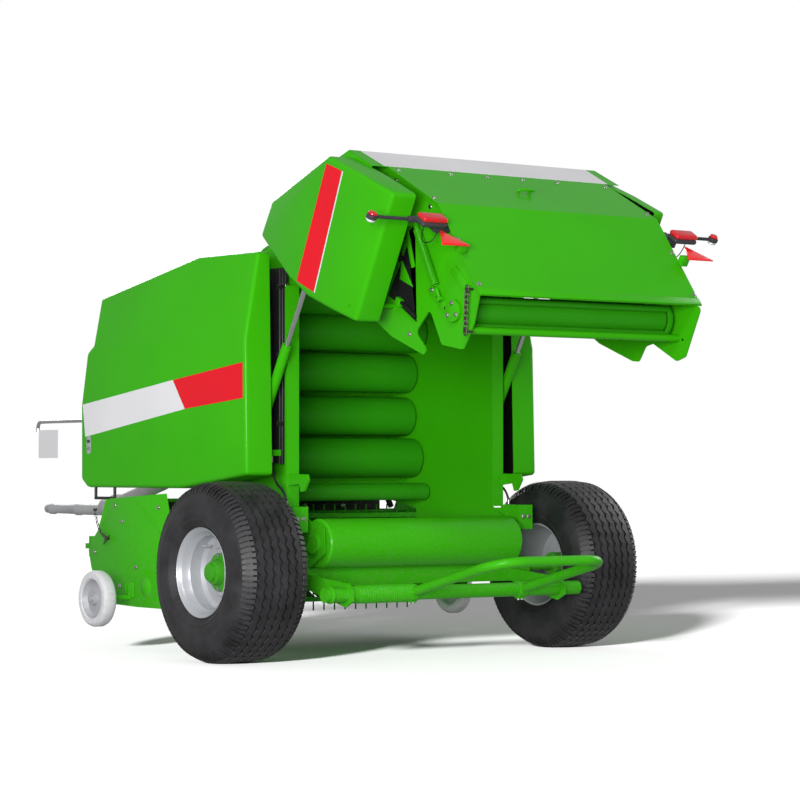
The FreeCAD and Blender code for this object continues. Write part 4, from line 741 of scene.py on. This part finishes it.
for side, sign in SIDES:
    out = sign * (WALL_OUT - 0.0001)
    top, low = spot(sign * 0.672, -0.514, 1.076), spot(sign * 0.672, -0.352, 0.8)
    along = (low - top).normalized()
    gear = [copied(one_coil, stood(top, along)), rod(low, low + along * 0.05, 0.008, 16),
            rod(top - along * 0.045, top + along * 0.02, 0.012, 20, 0.002)]
    for end in (top - along * 0.045, low + along * 0.05):
        gear.append(rod(Vector((out, end.y, end.z)), end + Vector((sign * 0.012, 0, 0)), 0.011, 20, 0.002))
    gear += [plate([(-0.345, 0.87), (-0.3, 0.88), (-0.262, 0.64), (-0.305, 0.625)],
                   out, out + sign * 0.006, 0.001),
             plate([(-0.5, 0.76), (-0.455, 0.78), (-0.42, 0.61), (-0.47, 0.6)],
                   out, out + sign * 0.005, 0.001),
             bar((out, -0.32, 0.655), (sign * 0.668, -0.32, 0.655), 0.052, 40, 0.004),
             bar((out, -0.1117, 1.9184), (sign * 0.664, -0.1117, 1.9184), 0.044, 40, 0.004)]
    on_gate(gear, "gate_gear_" + side, green)
    seats = [(0.668, -0.32 + 0.036 * cos(t), 0.655 + 0.036 * sin(t)) for t in (0.5, 2.6, 4.7)]
    seats += [(0.6542, -0.322, 0.85), (0.6542, -0.284, 0.66)]
    seats += [(0.6482, a, h) for a, h in ((-0.62, 1.371), (-0.64, 1.07), (-0.12, 1.3), (-0.06, 0.9),
                                          (-0.25, 1.9))]
    seats = [(GATE @ spot(sign * x, a, h), (sign, 0, 0)) for x, a, h in seats]
    bolts("gate_bolts_" + side, "tailgate", seats)
    # Black discs on the strap are painted shade in its slots.
    slot_shades = [stub(spot(sign * 0.6541, a, h), (sign, 0, 0), 0.007, 0.0012, 20, 0) for a, h in
             ((-0.312, 0.8), (-0.31, 0.785), (-0.308, 0.77), (-0.298, 0.72), (-0.296, 0.705))]
    on_gate(slot_shades, "strap_slot_shade_" + side, rubber_and_shade)
    start, end = spot(sign * 0.684, -0.47, 0.59), spot(sign * 0.684, -0.3, 0.5)
    chain = links(start, end, 9)
    chain.append(rod(Vector((out, start.y, start.z)), start + Vector((sign * 0.006, 0, 0)), 0.006, 16))
    chain.append(rod(Vector((sign * 0.64, end.y, end.z)), end + Vector((sign * 0.006, 0, 0)), 0.006, 16))
    on_gate(chain, "gate_chain_" + side, chain_steel)
    mid = sign * 0.664
    # The black sheet is painted shade in the gap behind the tail guard; the bars are black gear.
    shade_flap = [plate([(-0.505, 1.128), (-0.135, 1.138), (-0.135, 0.88), (-0.29, 1.01), (-0.452, 1.165)],
                  out, sign * 0.651, 0.0008),
            bar((mid, -0.548, 1.246), (mid, -0.356, 1.168), 0.013, 24, 0.004),
            bar((mid, -0.356, 1.17), (mid, -0.33, 1.12), 0.013, 24, 0.004),
            bar((out, -0.548, 1.246), (sign * 0.68, -0.548, 1.246), 0.024, 28, 0.004),
            bar((mid, -0.165, 1.03), (mid, -0.16, 0.885), 0.009, 20, 0.003)]
    on_gate(shade_flap, "gate_shade_flap_" + side, black_rubber_and_shade)
    stays = [plate(line, sign * 0.6514, sign * far, edge) for line, far, edge in
             (([(-0.33, 1.13), (-0.262, 0.985), (-0.245, 1.092)], 0.656, 0.001),
              ([(-0.475, 1.16), (-0.35, 1.02), (-0.335, 1.034), (-0.455, 1.172)], 0.662, 0.001),
              ([(-0.175, 1.05), (-0.14, 1.05), (-0.14, 1.01), (-0.175, 1.015)], 0.676, 0.002))]
    on_gate(stays, "gate_stays_" + side, green)
bpy.data.objects.remove(one_coil)

# ---------------- lamps and reflectors
# Rear lamps with red lenses in grey housings, marker lamps on rubber arms, and red prismatic
# triangles riveted to bent brackets. Bought in and bolted on.
grey, tree, shader = new_material("moulded_grey")
mottled(tree, shader, noise(tree, 5.0, 4.0), (0.0, (0.3, 0.3, 0.31)), (1.0, (0.42, 0.42, 0.43)))
feed(tree, shader, {"Roughness": 0.45})
bumped(tree, shader, noise(tree, 140.0, 3.0), 0.15, 0.0008)
charcoal = painted("moulded_charcoal", (0.05, 0.05, 0.056), dust=0.3, peel=0.6, gloss=0.36)


def prisms(name, colour, rough, painted_glow=0.0):
    """A lens or reflector: small prisms moulded behind a gloss face, with a painted glow."""
    material, tree, shader = new_material(name)
    place = add(tree, "ShaderNodeTexCoord").outputs["Object"]
    cells = add(tree, "ShaderNodeTexVoronoi", {"Vector": place, "Scale": 230.0}).outputs["Distance"]
    tone = ranged(tree, cells, start=0.8, end=1.15)
    shade = add(tree, "ShaderNodeVectorMath", {0: colour, "Scale": tone}, operation="SCALE")
    feed(tree, shader, {"Base Color": shade.outputs[0], "Roughness": rough, "Coat Weight": 0.4,
                        "Emission Color": (*colour, 1), "Emission Strength": painted_glow})
    bumped(tree, shader, cells, 0.25, 0.002)
    return material


# The red reflector and the unlit lamp lens get a faint painted glow.
red = prisms("red_prisms", (0.88, 0.006, 0.01), 0.18, 0.15)
lens = prisms("red_lens", (0.62, 0.006, 0.014), 0.12, 0.08)
clear = prisms("clear_lens", (0.75, 0.75, 0.78), 0.12)


def raised_middle():
    """Raise the middle of the selected face, with a border round it."""
    bpy.ops.mesh.inset(thickness=0.008)
    bpy.ops.mesh.extrude_region_move(TRANSFORM_OT_translate={"value": (0, -0.002, 0)})


LAMP_X, LAMP_Z, LAMP_BACK, LAMP_FRONT = 0.768, 0.884, -0.685, -0.635
MARKER_X, ARM = 1.045, (-0.622, 0.96)        # the marker's arm, behind the axle and up
TRIANGLE_X, TRIANGLE_Z, TRIANGLE_BACK, HALF = 0.747, 0.83, -0.632, 0.08
for side, sign in SIDES:
    case = brick((sign * (LAMP_X - 0.072), LAMP_BACK + 0.022, LAMP_Z - 0.037),
                 (sign * (LAMP_X + 0.072), LAMP_FRONT, LAMP_Z + 0.037), 0.014)
    strap = brick((sign * WALL_OUT, LAMP_FRONT - 0.003, LAMP_Z - 0.006),
                  (sign * 0.738, LAMP_FRONT + 0.035, 0.976), 0.003)
    sleeve = bar((sign * 0.7, *ARM), (sign * 0.84, *ARM), 0.015, 28, 0.003)
    arm = bar((sign * 0.835, *ARM), (sign * 1.03, *ARM), 0.0085, 24)
    end = sign * MARKER_X
    cup = bar((end, ARM[0] - 0.01, ARM[1]), (end, ARM[0] + 0.01, ARM[1]), 0.0255, 32, 0.003)
    housing = on_gate([case, strap, sleeve, arm, cup], "lamp_housing_" + side, charcoal)
    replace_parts(housing, "lamps")
    glass = brick((sign * (LAMP_X - 0.07), LAMP_BACK, LAMP_Z - 0.035),
                  (sign * (LAMP_X + 0.07), LAMP_BACK + 0.026, LAMP_Z + 0.035), 0.024, 5)
    on_gate([glass], "lamp_lens_" + side, lens)
    for name, root, tip, material in (("marker_red_", -0.631, -0.646, lens),
                                      ("marker_clear_", -0.613, -0.598, clear)):
        dome = bar((end, root, ARM[1]), (end, tip, ARM[1]), 0.022, 32, 0.008)
        on_gate([dome], name + side, material)
    middle, base = sign * TRIANGLE_X, TRIANGLE_Z - HALF * sqrt(3)
    corners = [(middle, TRIANGLE_Z), (middle + HALF, base), (middle - HALF, base)]
    outline = closed_line([spot(x, TRIANGLE_BACK, h) for x, h in corners])
    triangle = bevelled(swept(outline, (0, -0.007, 0), raised_middle), 0.001)
    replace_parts(on_gate([triangle], "triangle_" + side, red), "reflectors")
    tab = plate([(-0.596, 0.745), (-0.584, 0.715), (TRIANGLE_BACK, 0.715), (TRIANGLE_BACK, 0.745)],
                sign * 0.654, sign * 0.7, 0.002)
    on_gate([tab], "triangle_tab_" + side, green)

# ---------------- hoses and lamp cables
# Black hydraulic hose with crimped ends from each cylinder's port, and the lamps' thin cables,
# which hang in a loop between the lamp and its strap.
black, tree, shader = new_material("black_cover_and_shade")
weave = noise(tree, 400.0)
rough = ranged(tree, weave, start=0.35, end=0.6)
feed(tree, shader, {"Base Color": (0.012, 0.012, 0.013, 1), "Roughness": rough})
bumped(tree, shader, weave, 0.2, 0.0005)


def laid(name, points, radius, body, turn=None):
    """A round cord on one smooth curve whose control points are its route's corners."""
    curve = bpy.data.curves.new(name, "CURVE")
    curve.dimensions = "3D"
    curve.bevel_depth, curve.bevel_resolution, curve.resolution_u = radius, 4, 16
    curve.use_fill_caps = True
    line = curve.splines.new("NURBS")
    line.points.add(len(points) - 1)
    for point, place in zip(line.points, points):
        point.co = (*(turn @ place if turn else place), 1)
    line.order_u = 3
    line.use_endpoint_u = True
    piece = bpy.data.objects.new(name, curve)
    bpy.context.scene.collection.objects.link(piece)
    curve.materials.append(black)
    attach(piece, body)
    return piece


for side, sign in SIDES:
    route = [spot(sign * 0.7, 0.15, 0.9997), spot(sign * 0.7, 0.15, 0.88),
             spot(sign * 0.7, 0.022, 0.815), spot(sign * 0.7, 0.022, 0.7503)]
    hose = laid("hydraulic_hose_" + side, route, 0.006, "chassis")
    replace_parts(hose, "hose_" + side)
    crimps = [rod(route[0], route[0] - Vector((0, 0, 0.03)), 0.0085, 24, 0.001),
              rod(route[3] + Vector((0, 0, 0.026)), route[3], 0.0085, 24, 0.001)]
    finish(crimps, "hose_ends_" + side, "chassis", zinc)
    route = [spot(sign * 0.8, -0.6347, 0.884), spot(sign * 0.8, -0.545, 0.884),
             spot(sign * 0.716, -0.545, 0.884), spot(sign * 0.716, -0.5997, 0.884)]
    cable = laid("lamp_lead_" + side, route, 0.0025, "tailgate", GATE)
    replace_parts(cable, "lamp_cable_" + side)

# ---------------- drive shaft, hitch and gearbox
# Two moulded plastic guard tubes with ribbed cones over the joints, a forged eye bolted to the
# tongue, and a cast gearbox with cooling ribs and a filler cap. The hose holder's tag is blank.
dress("tag_plate", painted("tag_white", (0.78, 0.78, 0.8), dust=0.1, peel=0.1))
cone = [(0.0, 0.03), (0.0, 0.058)]
for k in range(5):
    cone += [(0.01 + k * 0.016, 0.06 - k * 0.003), (0.018 + k * 0.016, 0.053 - k * 0.003)]
cone += [(0.1, 0.042), (0.1, 0.03)]
rear, front = spot(0, 1.705, 0.999), spot(0, 2.845, 0.725)
tube = [(0.0, 0.0177), (0.0, 0.034), (0.28, 0.032), (0.3, 0.036), (0.34, 0.036), (0.36, 0.029), (0.6, 0.027),
        (0.612, 0.033), (0.65, 0.033), (0.662, 0.027), (0.699, 0.0255), (0.699, 0.0177)]
pieces = []
for line, start, end in ((cone, rear, front), (cone, front, rear),
                         (tube, spot(0, 2.945, 0.695), spot(0, 3.644, 0.695))):
    pieces.append(turned(line, (0, 0, 0), 48))
    pieces[-1].data.transform(stood(start, end - start, "XZ"))
pieces += [rod(rear, front, 0.036, 48), rod(rear.lerp(front, 0.52), front, 0.0405, 48, 0.003),
           bar((0, 2.82, 0.712), (0, 2.955, 0.708), 0.058, 48, 0.012),
           bar((0, 1.6885, 1.0), (0, 1.716, 1.0), 0.04, 40, 0.003)]
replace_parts(finish(pieces, "shaft_cover", "chassis", grey), "shaft_guard")
ribs = [brick((-0.1195 + k * 0.034, 1.385, 1.117), (-0.1075 + k * 0.034, 1.615, 1.1205), 0.001)
        for k in range(8)]
ribs += [brick((sign * 0.1195, 1.42 + k * 0.04, 0.92), (sign * 0.1215, 1.428 + k * 0.04, 1.1), 0.0008)
         for k in range(5) for sign in (-1, 1)]
ribs.append(bar((0.05, 1.45, 1.118), (0.05, 1.45, 1.138), 0.022, 6, 0.002))
finish(ribs, "gearbox_ribs", "chassis", cast)
for name, x, ahead, heights in (("gearbox_bolts", 0.095, 1.62, (0.93, 1.08)),
                                ("eye_bolts", 0.044, 3.042, (0.44, 0.52))):
    bolts(name, "chassis", [(spot(sign * x, ahead, h), (0, 1, 0)) for sign in (-1, 1) for h in heights], 1.2)

# ---------------- kicker and axle trim
# A return spring wound round the kicker's tube, clamps where the loop is bolted on, and bolts
# in the clamps and in the axle's plates.
KICK, CLAMPS = (-0.424, 0.332), (-0.269, 0.414)        # the tube's line, and where its clamps are
coil = wound(round_line(0, 0.041, 0.004, 10), "X", 0.0105, 33, 28)
coil.data.transform(Matrix.Translation(spot(-0.6, *KICK)))
finish(coil, "kicker_spring", "kick_loop", green, smooth=50)
clamps = [bar((-0.76, *KICK), (-0.745, *KICK), 0.042, 40, 0.003)]
for x in CLAMPS:
    clamps += [bar((x - 0.028, *KICK), (x + 0.028, *KICK), 0.0425, 40, 0.004),
               brick((x - 0.022, -0.44, 0.285), (x + 0.022, -0.408, 0.3), 0.003)]
finish(clamps, "kicker_clamps", "kick_loop", green)
bolts("kicker_bolts", "kick_loop",
      [(spot(x + dx, KICK[0], 0.285), (0, 0, -1)) for x in CLAMPS for dx in (-0.012, 0.012)], 0.9)
bolts("axle_bolts", "chassis", [(spot(sign * 0.7902, a, h), (sign, 0, 0))
                                for sign in (-1, 1) for a in (-0.034, 0.034) for h in (0.372, 0.468)], 1.1)

# ---------------- chamber wall trim
# Cast bearing flanges bolted over each roller's shaft, black pipes held by zinc plated clips up
# the rear posts with a black plate of painted shade behind them, and bolts in the walls and the
# step boxes.
RING_AT, RING_R, FIRST_TURN, TURN_STEP = (0.09, 1.3), 0.705, 88.4, 19
FLANGE_LINE = [(0.636, 0.002), (0.636, 0.024), (0.6355, 0.047), (0.64, 0.047), (0.644, 0.03), (0.652, 0.028),
               (0.654, 0.02), (0.654, 0.002)]
turns = [radians(FIRST_TURN - TURN_STEP * k) for k in range(1, 7)]
centres = [(RING_AT[0] + RING_R * cos(t), RING_AT[1] + RING_R * sin(t)) for t in turns] + [(0.61, 0.815)]
flanges, heads = [], []
for sign in (-1, 1):
    for ahead, height in centres:
        flanges.append(turned(FLANGE_LINE, spot(0, ahead, height), 32, sign))
        for t in (0.4, 0.4 + tau / 3, 0.4 + tau * 2 / 3):
            heads.append((spot(sign * 0.64, ahead + 0.038 * cos(t), height + 0.038 * sin(t)), (sign, 0, 0)))
finish(flanges, "bearing_flanges", "chassis", cast)
bolts("bearing_bolts", "chassis", heads, 0.8)
bolts("wall_bolts", "chassis", [(spot(sign * 0.6398, a, h), (-sign, 0, 0)) for sign in (-1, 1)
                                for a, h in ((0.64, 1.443), (0.506, 1.433))], 0.9)
pipes_and_shade, clips = [], []
for sign in (-1, 1):
    pipes_and_shade += [bar((sign * 0.6565, a, 0.96), (sign * 0.6565, a, 1.93), 0.0075, 20, 0.002)
              for a in (0.098, 0.122, 0.146)]
    # A black plate on the wall behind the pipes is painted shade in the gap behind the tail guard.
    pipes_and_shade.append(brick((sign * WALL_OUT, 0.092, 0.965), (sign * 0.65, 0.4, 1.935), 0.0006, 2))
    clips += [brick((sign * WALL_OUT, 0.084, h - 0.012), (sign * 0.666, 0.16, h + 0.012), 0.002)
              for h in (1.16, 1.5, 1.84)]
finish(pipes_and_shade, "wall_pipes_and_shade", "chassis", black)
finish(clips, "pipe_clips", "chassis", zinc)
heads = [(spot(sign * 0.7522, a, h), (sign, 0, 0)) for sign in (-1, 1) for a, h in
         ((-0.085, 0.65), (-0.085, 0.725), (0.015, 0.65), (0.015, 0.725))]
heads += [(spot(sign * x, -0.1102, 0.69), (0, -1, 0)) for sign in (-1, 1) for x in (0.69, 0.725)]
bolts("step_bolts", "chassis", heads)

# ---------------- intake and pickup trim
# Black rubber curtains ahead of the reel, and behind the panel's skirt a black sheet that is
# painted shade, seen between the rollers. The bars that hold them are in the darker green of
# painted shade. A pressed sheet with folded ribs on each pickup cheek. The guards have grab
# handles and latches, and the wheels' pins hang on a chain.
black_sheets = [brick((-0.755, 1.236, 0.632), (0.755, 1.24, 0.77), 0.0008),
            brick((-0.86, 1.2362, 0.632), (0.86, 1.2398, 0.716), 0.0008)]
finish(black_sheets, "wind_curtain", "pickup", black_rubber_and_shade)
# The black sheet on the skirt's inside is painted shade, seen between the rollers.
black_sheets = [brick((sign * 0.064, 0.964, 0.772), (sign * 0.6, 0.9674, 0.924), 0.0006) for sign in (-1, 1)]
black_sheets += [bar((0.3, 0.905, 0.8), (0.45, 0.905, 0.832), 0.024, 32, 0.006),
             bar((0.45, 0.905, 0.832), (0.54, 0.905, 0.825), 0.016, 24, 0.004),
             bar((0.54, 0.905, 0.828), (0.59, 0.905, 0.73), 0.016, 24, 0.004)]
finish(black_sheets, "skirt_shade_sheet", "chassis", black_rubber_and_shade)
bars = [bar((-0.75, 1.238, 0.77), (0.75, 1.238, 0.77), 0.01, 24, 0.002),
        bar((-0.945, 1.238, 0.7), (0.945, 1.238, 0.7), 0.01, 24)]
finish(bars, "wind_bar", "pickup", shade_green)
bars = [bar((-0.606, 0.935, 0.815), (0.3, 0.935, 0.815), 0.012, 24, 0.002),
        bar((0.3, 0.905, 0.8), (0.3, 0.962, 0.8), 0.014, 24, 0.002),
        bar((0.54, 0.905, 0.828), (0.54, 0.962, 0.828), 0.014, 24, 0.002)]
finish(bars, "curtain_bar", "chassis", shade_green)
bolts("curtain_bolts", "pickup",
      [(spot(x, 1.2358, 0.735), (0, -1, 0)) for x in (-0.5, -0.25, 0.0, 0.25, 0.5)])
CHEEK_LINE = [(0.726, 0.811), (1.29, 0.781), (1.31, 0.705), (1.454, 0.572), (1.505, 0.507), (1.474, 0.413),
              (1.36, 0.262), (1.165, 0.246), (0.771, 0.224), (0.64, 0.39), (0.64, 0.52)]
CHEEK_FACE = 0.9563
CHEEK_PLATES = [(CHEEK_LINE, 0.9533, CHEEK_FACE, 0.0012),
                ([(1.03, 0.77), (1.005, 0.77), (0.7, 0.585), (0.712, 0.565)], CHEEK_FACE, 0.96, 0.003),
                ([(1.12, 0.351), (1.035, 0.351), (1.035, 0.272), (1.12, 0.272)], CHEEK_FACE, 0.964, 0.004)]
CHEEK_PLATES += [([(a, 0.345), (a - 0.008, 0.345), (a - 0.008, 0.278), (a, 0.278)], 0.9638, 0.97, 0.002)
                 for a in (1.105, 1.075)]
CHEEK_BOSS = [(0.9555, 0.001), (0.9555, 0.05), (0.959, 0.046), (0.965, 0.03), (0.968, 0.001)]
for side, sign in SIDES:
    sheet = [plate(line, sign * near, sign * far, edge) for line, near, far, edge in CHEEK_PLATES]
    sheet.append(turned(CHEEK_BOSS, spot(0, 0.922, 0.33), 36, sign))
    finish(sheet, "cheek_sheet_" + side, "pickup", green)
    bolts("cheek_bolts_" + side, "pickup", [(spot(sign * CHEEK_FACE, a, h), (sign, 0, 0)) for a, h in
                                            ((1.162, 0.663), (0.8, 0.74), (1.23, 0.745), (1.44, 0.5),
                                             (1.02, 0.43), (0.75, 0.3), (1.18, 0.33))])
    x = sign * (FACE - 0.015)
    grab = [bar((x, a, 0.838), (x, a, 0.782), 0.008, 20) for a in (1.33, 1.525)]
    grab.append(bar((x, 1.322, 0.782), (x, 1.533, 0.782), 0.008, 20, 0.004))
    finish(grab, "guard_grab_" + side, "side_guard_" + side, black)
    latch = [stub(spot(sign * FACE, 1.575, h), (sign, 0, 0), 0.021, 0.003, 32, 0.001) for h in (1.035, 1.092)]
    latch.append(brick((sign * FACE, 1.554, 1.035), (sign * (FACE + 0.003), 1.596, 1.092), 0.0008))
    finish(latch, "guard_latch_" + side, "side_guard_" + side, silver)

hung = [bar((-0.956, 1.42, 0.722), (-0.976, 1.42, 0.722), 0.006, 20, 0.001),
        bar((-0.956, 1.296, 0.572), (-0.98, 1.296, 0.572), 0.009, 24, 0.002),
        bar((-0.97, 1.27, 0.59), (-0.97, 1.325, 0.548), 0.0025, 12),
        bar((-0.976, 1.27, 0.578), (-0.976, 1.318, 0.541), 0.0025, 12)]
hung += links(spot(-0.966, 1.42, 0.709), spot(-0.966, 1.296, 0.575), 12, 0.6, (0, 0.012, -0.03))
finish(hung, "pin_chain", "pickup", chain_steel)

# ---------------- twine box, jack and gauge wheels
# Lid, seam and grips on the twine box; the jack's crank; and gauge wheels of two pressed discs
# with pale rubber tyres, under caps on the pins.
lid = plate([(0.9, 1.8045), (0.885, 1.8005), (1.398, 1.7605), (1.408, 1.7645)], -0.6, 0.6, 0.001)
seam = plate([(1.404, 1.742), (1.412, 1.746), (1.4275, 1.6895), (1.4195, 1.6855)], -0.6, 0.6, 0.001)
grips = [brick((x - 0.03, 1.412, 1.69), (x + 0.03, 1.436, 1.73), 0.004) for x in (-0.4, 0.4)]
finish([lid, seam] + grips, "twine_lid", "chassis", green)
crank = [bar((0.112, 2.0, 1.0102), (0.112, 2.0, 1.032), 0.012, 20),
         bar((0.112, 2.0, 1.026), (0.112, 2.085, 1.026), 0.007, 16),
         bar((0.112, 2.08, 1.022), (0.112, 2.08, 1.085), 0.01, 20, 0.003)]
finish(crank, "jack_crank", "chassis", zinc)
low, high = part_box("gauge_wheel_right")
gauge_at = (Vector(low) + Vector(high)) / 2
pale_rubber = painted("pale_rubber", (0.66, 0.66, 0.69), dust=0.4, peel=0.5, gloss=0.45)
gauge_tyre = [(-0.037, 0.105), (-0.037, 0.128), (-0.03, 0.138), (-0.018, 0.1435), (0.018, 0.1435),
              (0.03, 0.138), (0.037, 0.128), (0.037, 0.105), (0.03, 0.1), (-0.03, 0.1)]
pin_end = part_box("pickup_frame")[1][0]
gauge_disc = [(-0.034, 0.0145), (-0.034, 0.03), (-0.012, 0.036), (-0.006, 0.085), (-0.03, 0.096),
              (-0.032, 0.104), (0.032, 0.104), (0.03, 0.096), (0.006, 0.085), (0.0, 0.036), (0.034, 0.03),
              (0.034, 0.0145)]
gauge_cap = [(-0.0103, 0.0143), (-0.0103, 0.0175), (0.0025, 0.017), (0.004, 0.012), (0.004, 0.001),
             (0.0004, 0.001), (0.0004, 0.0143)]
for side, sign in SIDES:
    hub = Vector((sign * gauge_at.x, gauge_at.y, gauge_at.z))
    tyre = finish(turned(gauge_tyre, hub, 64), "gauge_tyre_" + side, "gauge_" + side, pale_rubber)
    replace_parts(tyre, "gauge_wheel_" + side)
    finish(turned(gauge_disc, hub, 48), "gauge_disc_" + side, "gauge_" + side, silver)
    cap = turned(gauge_cap, (sign * pin_end, gauge_at.y, gauge_at.z), 32, sign)
    finish(cap, "gauge_cap_" + side, "pickup", silver)

# ---------------- clean up
# The bolt and the link that were only copied go.
for pattern in (one_bolt, one_link):
    bpy.data.objects.remove(pattern)
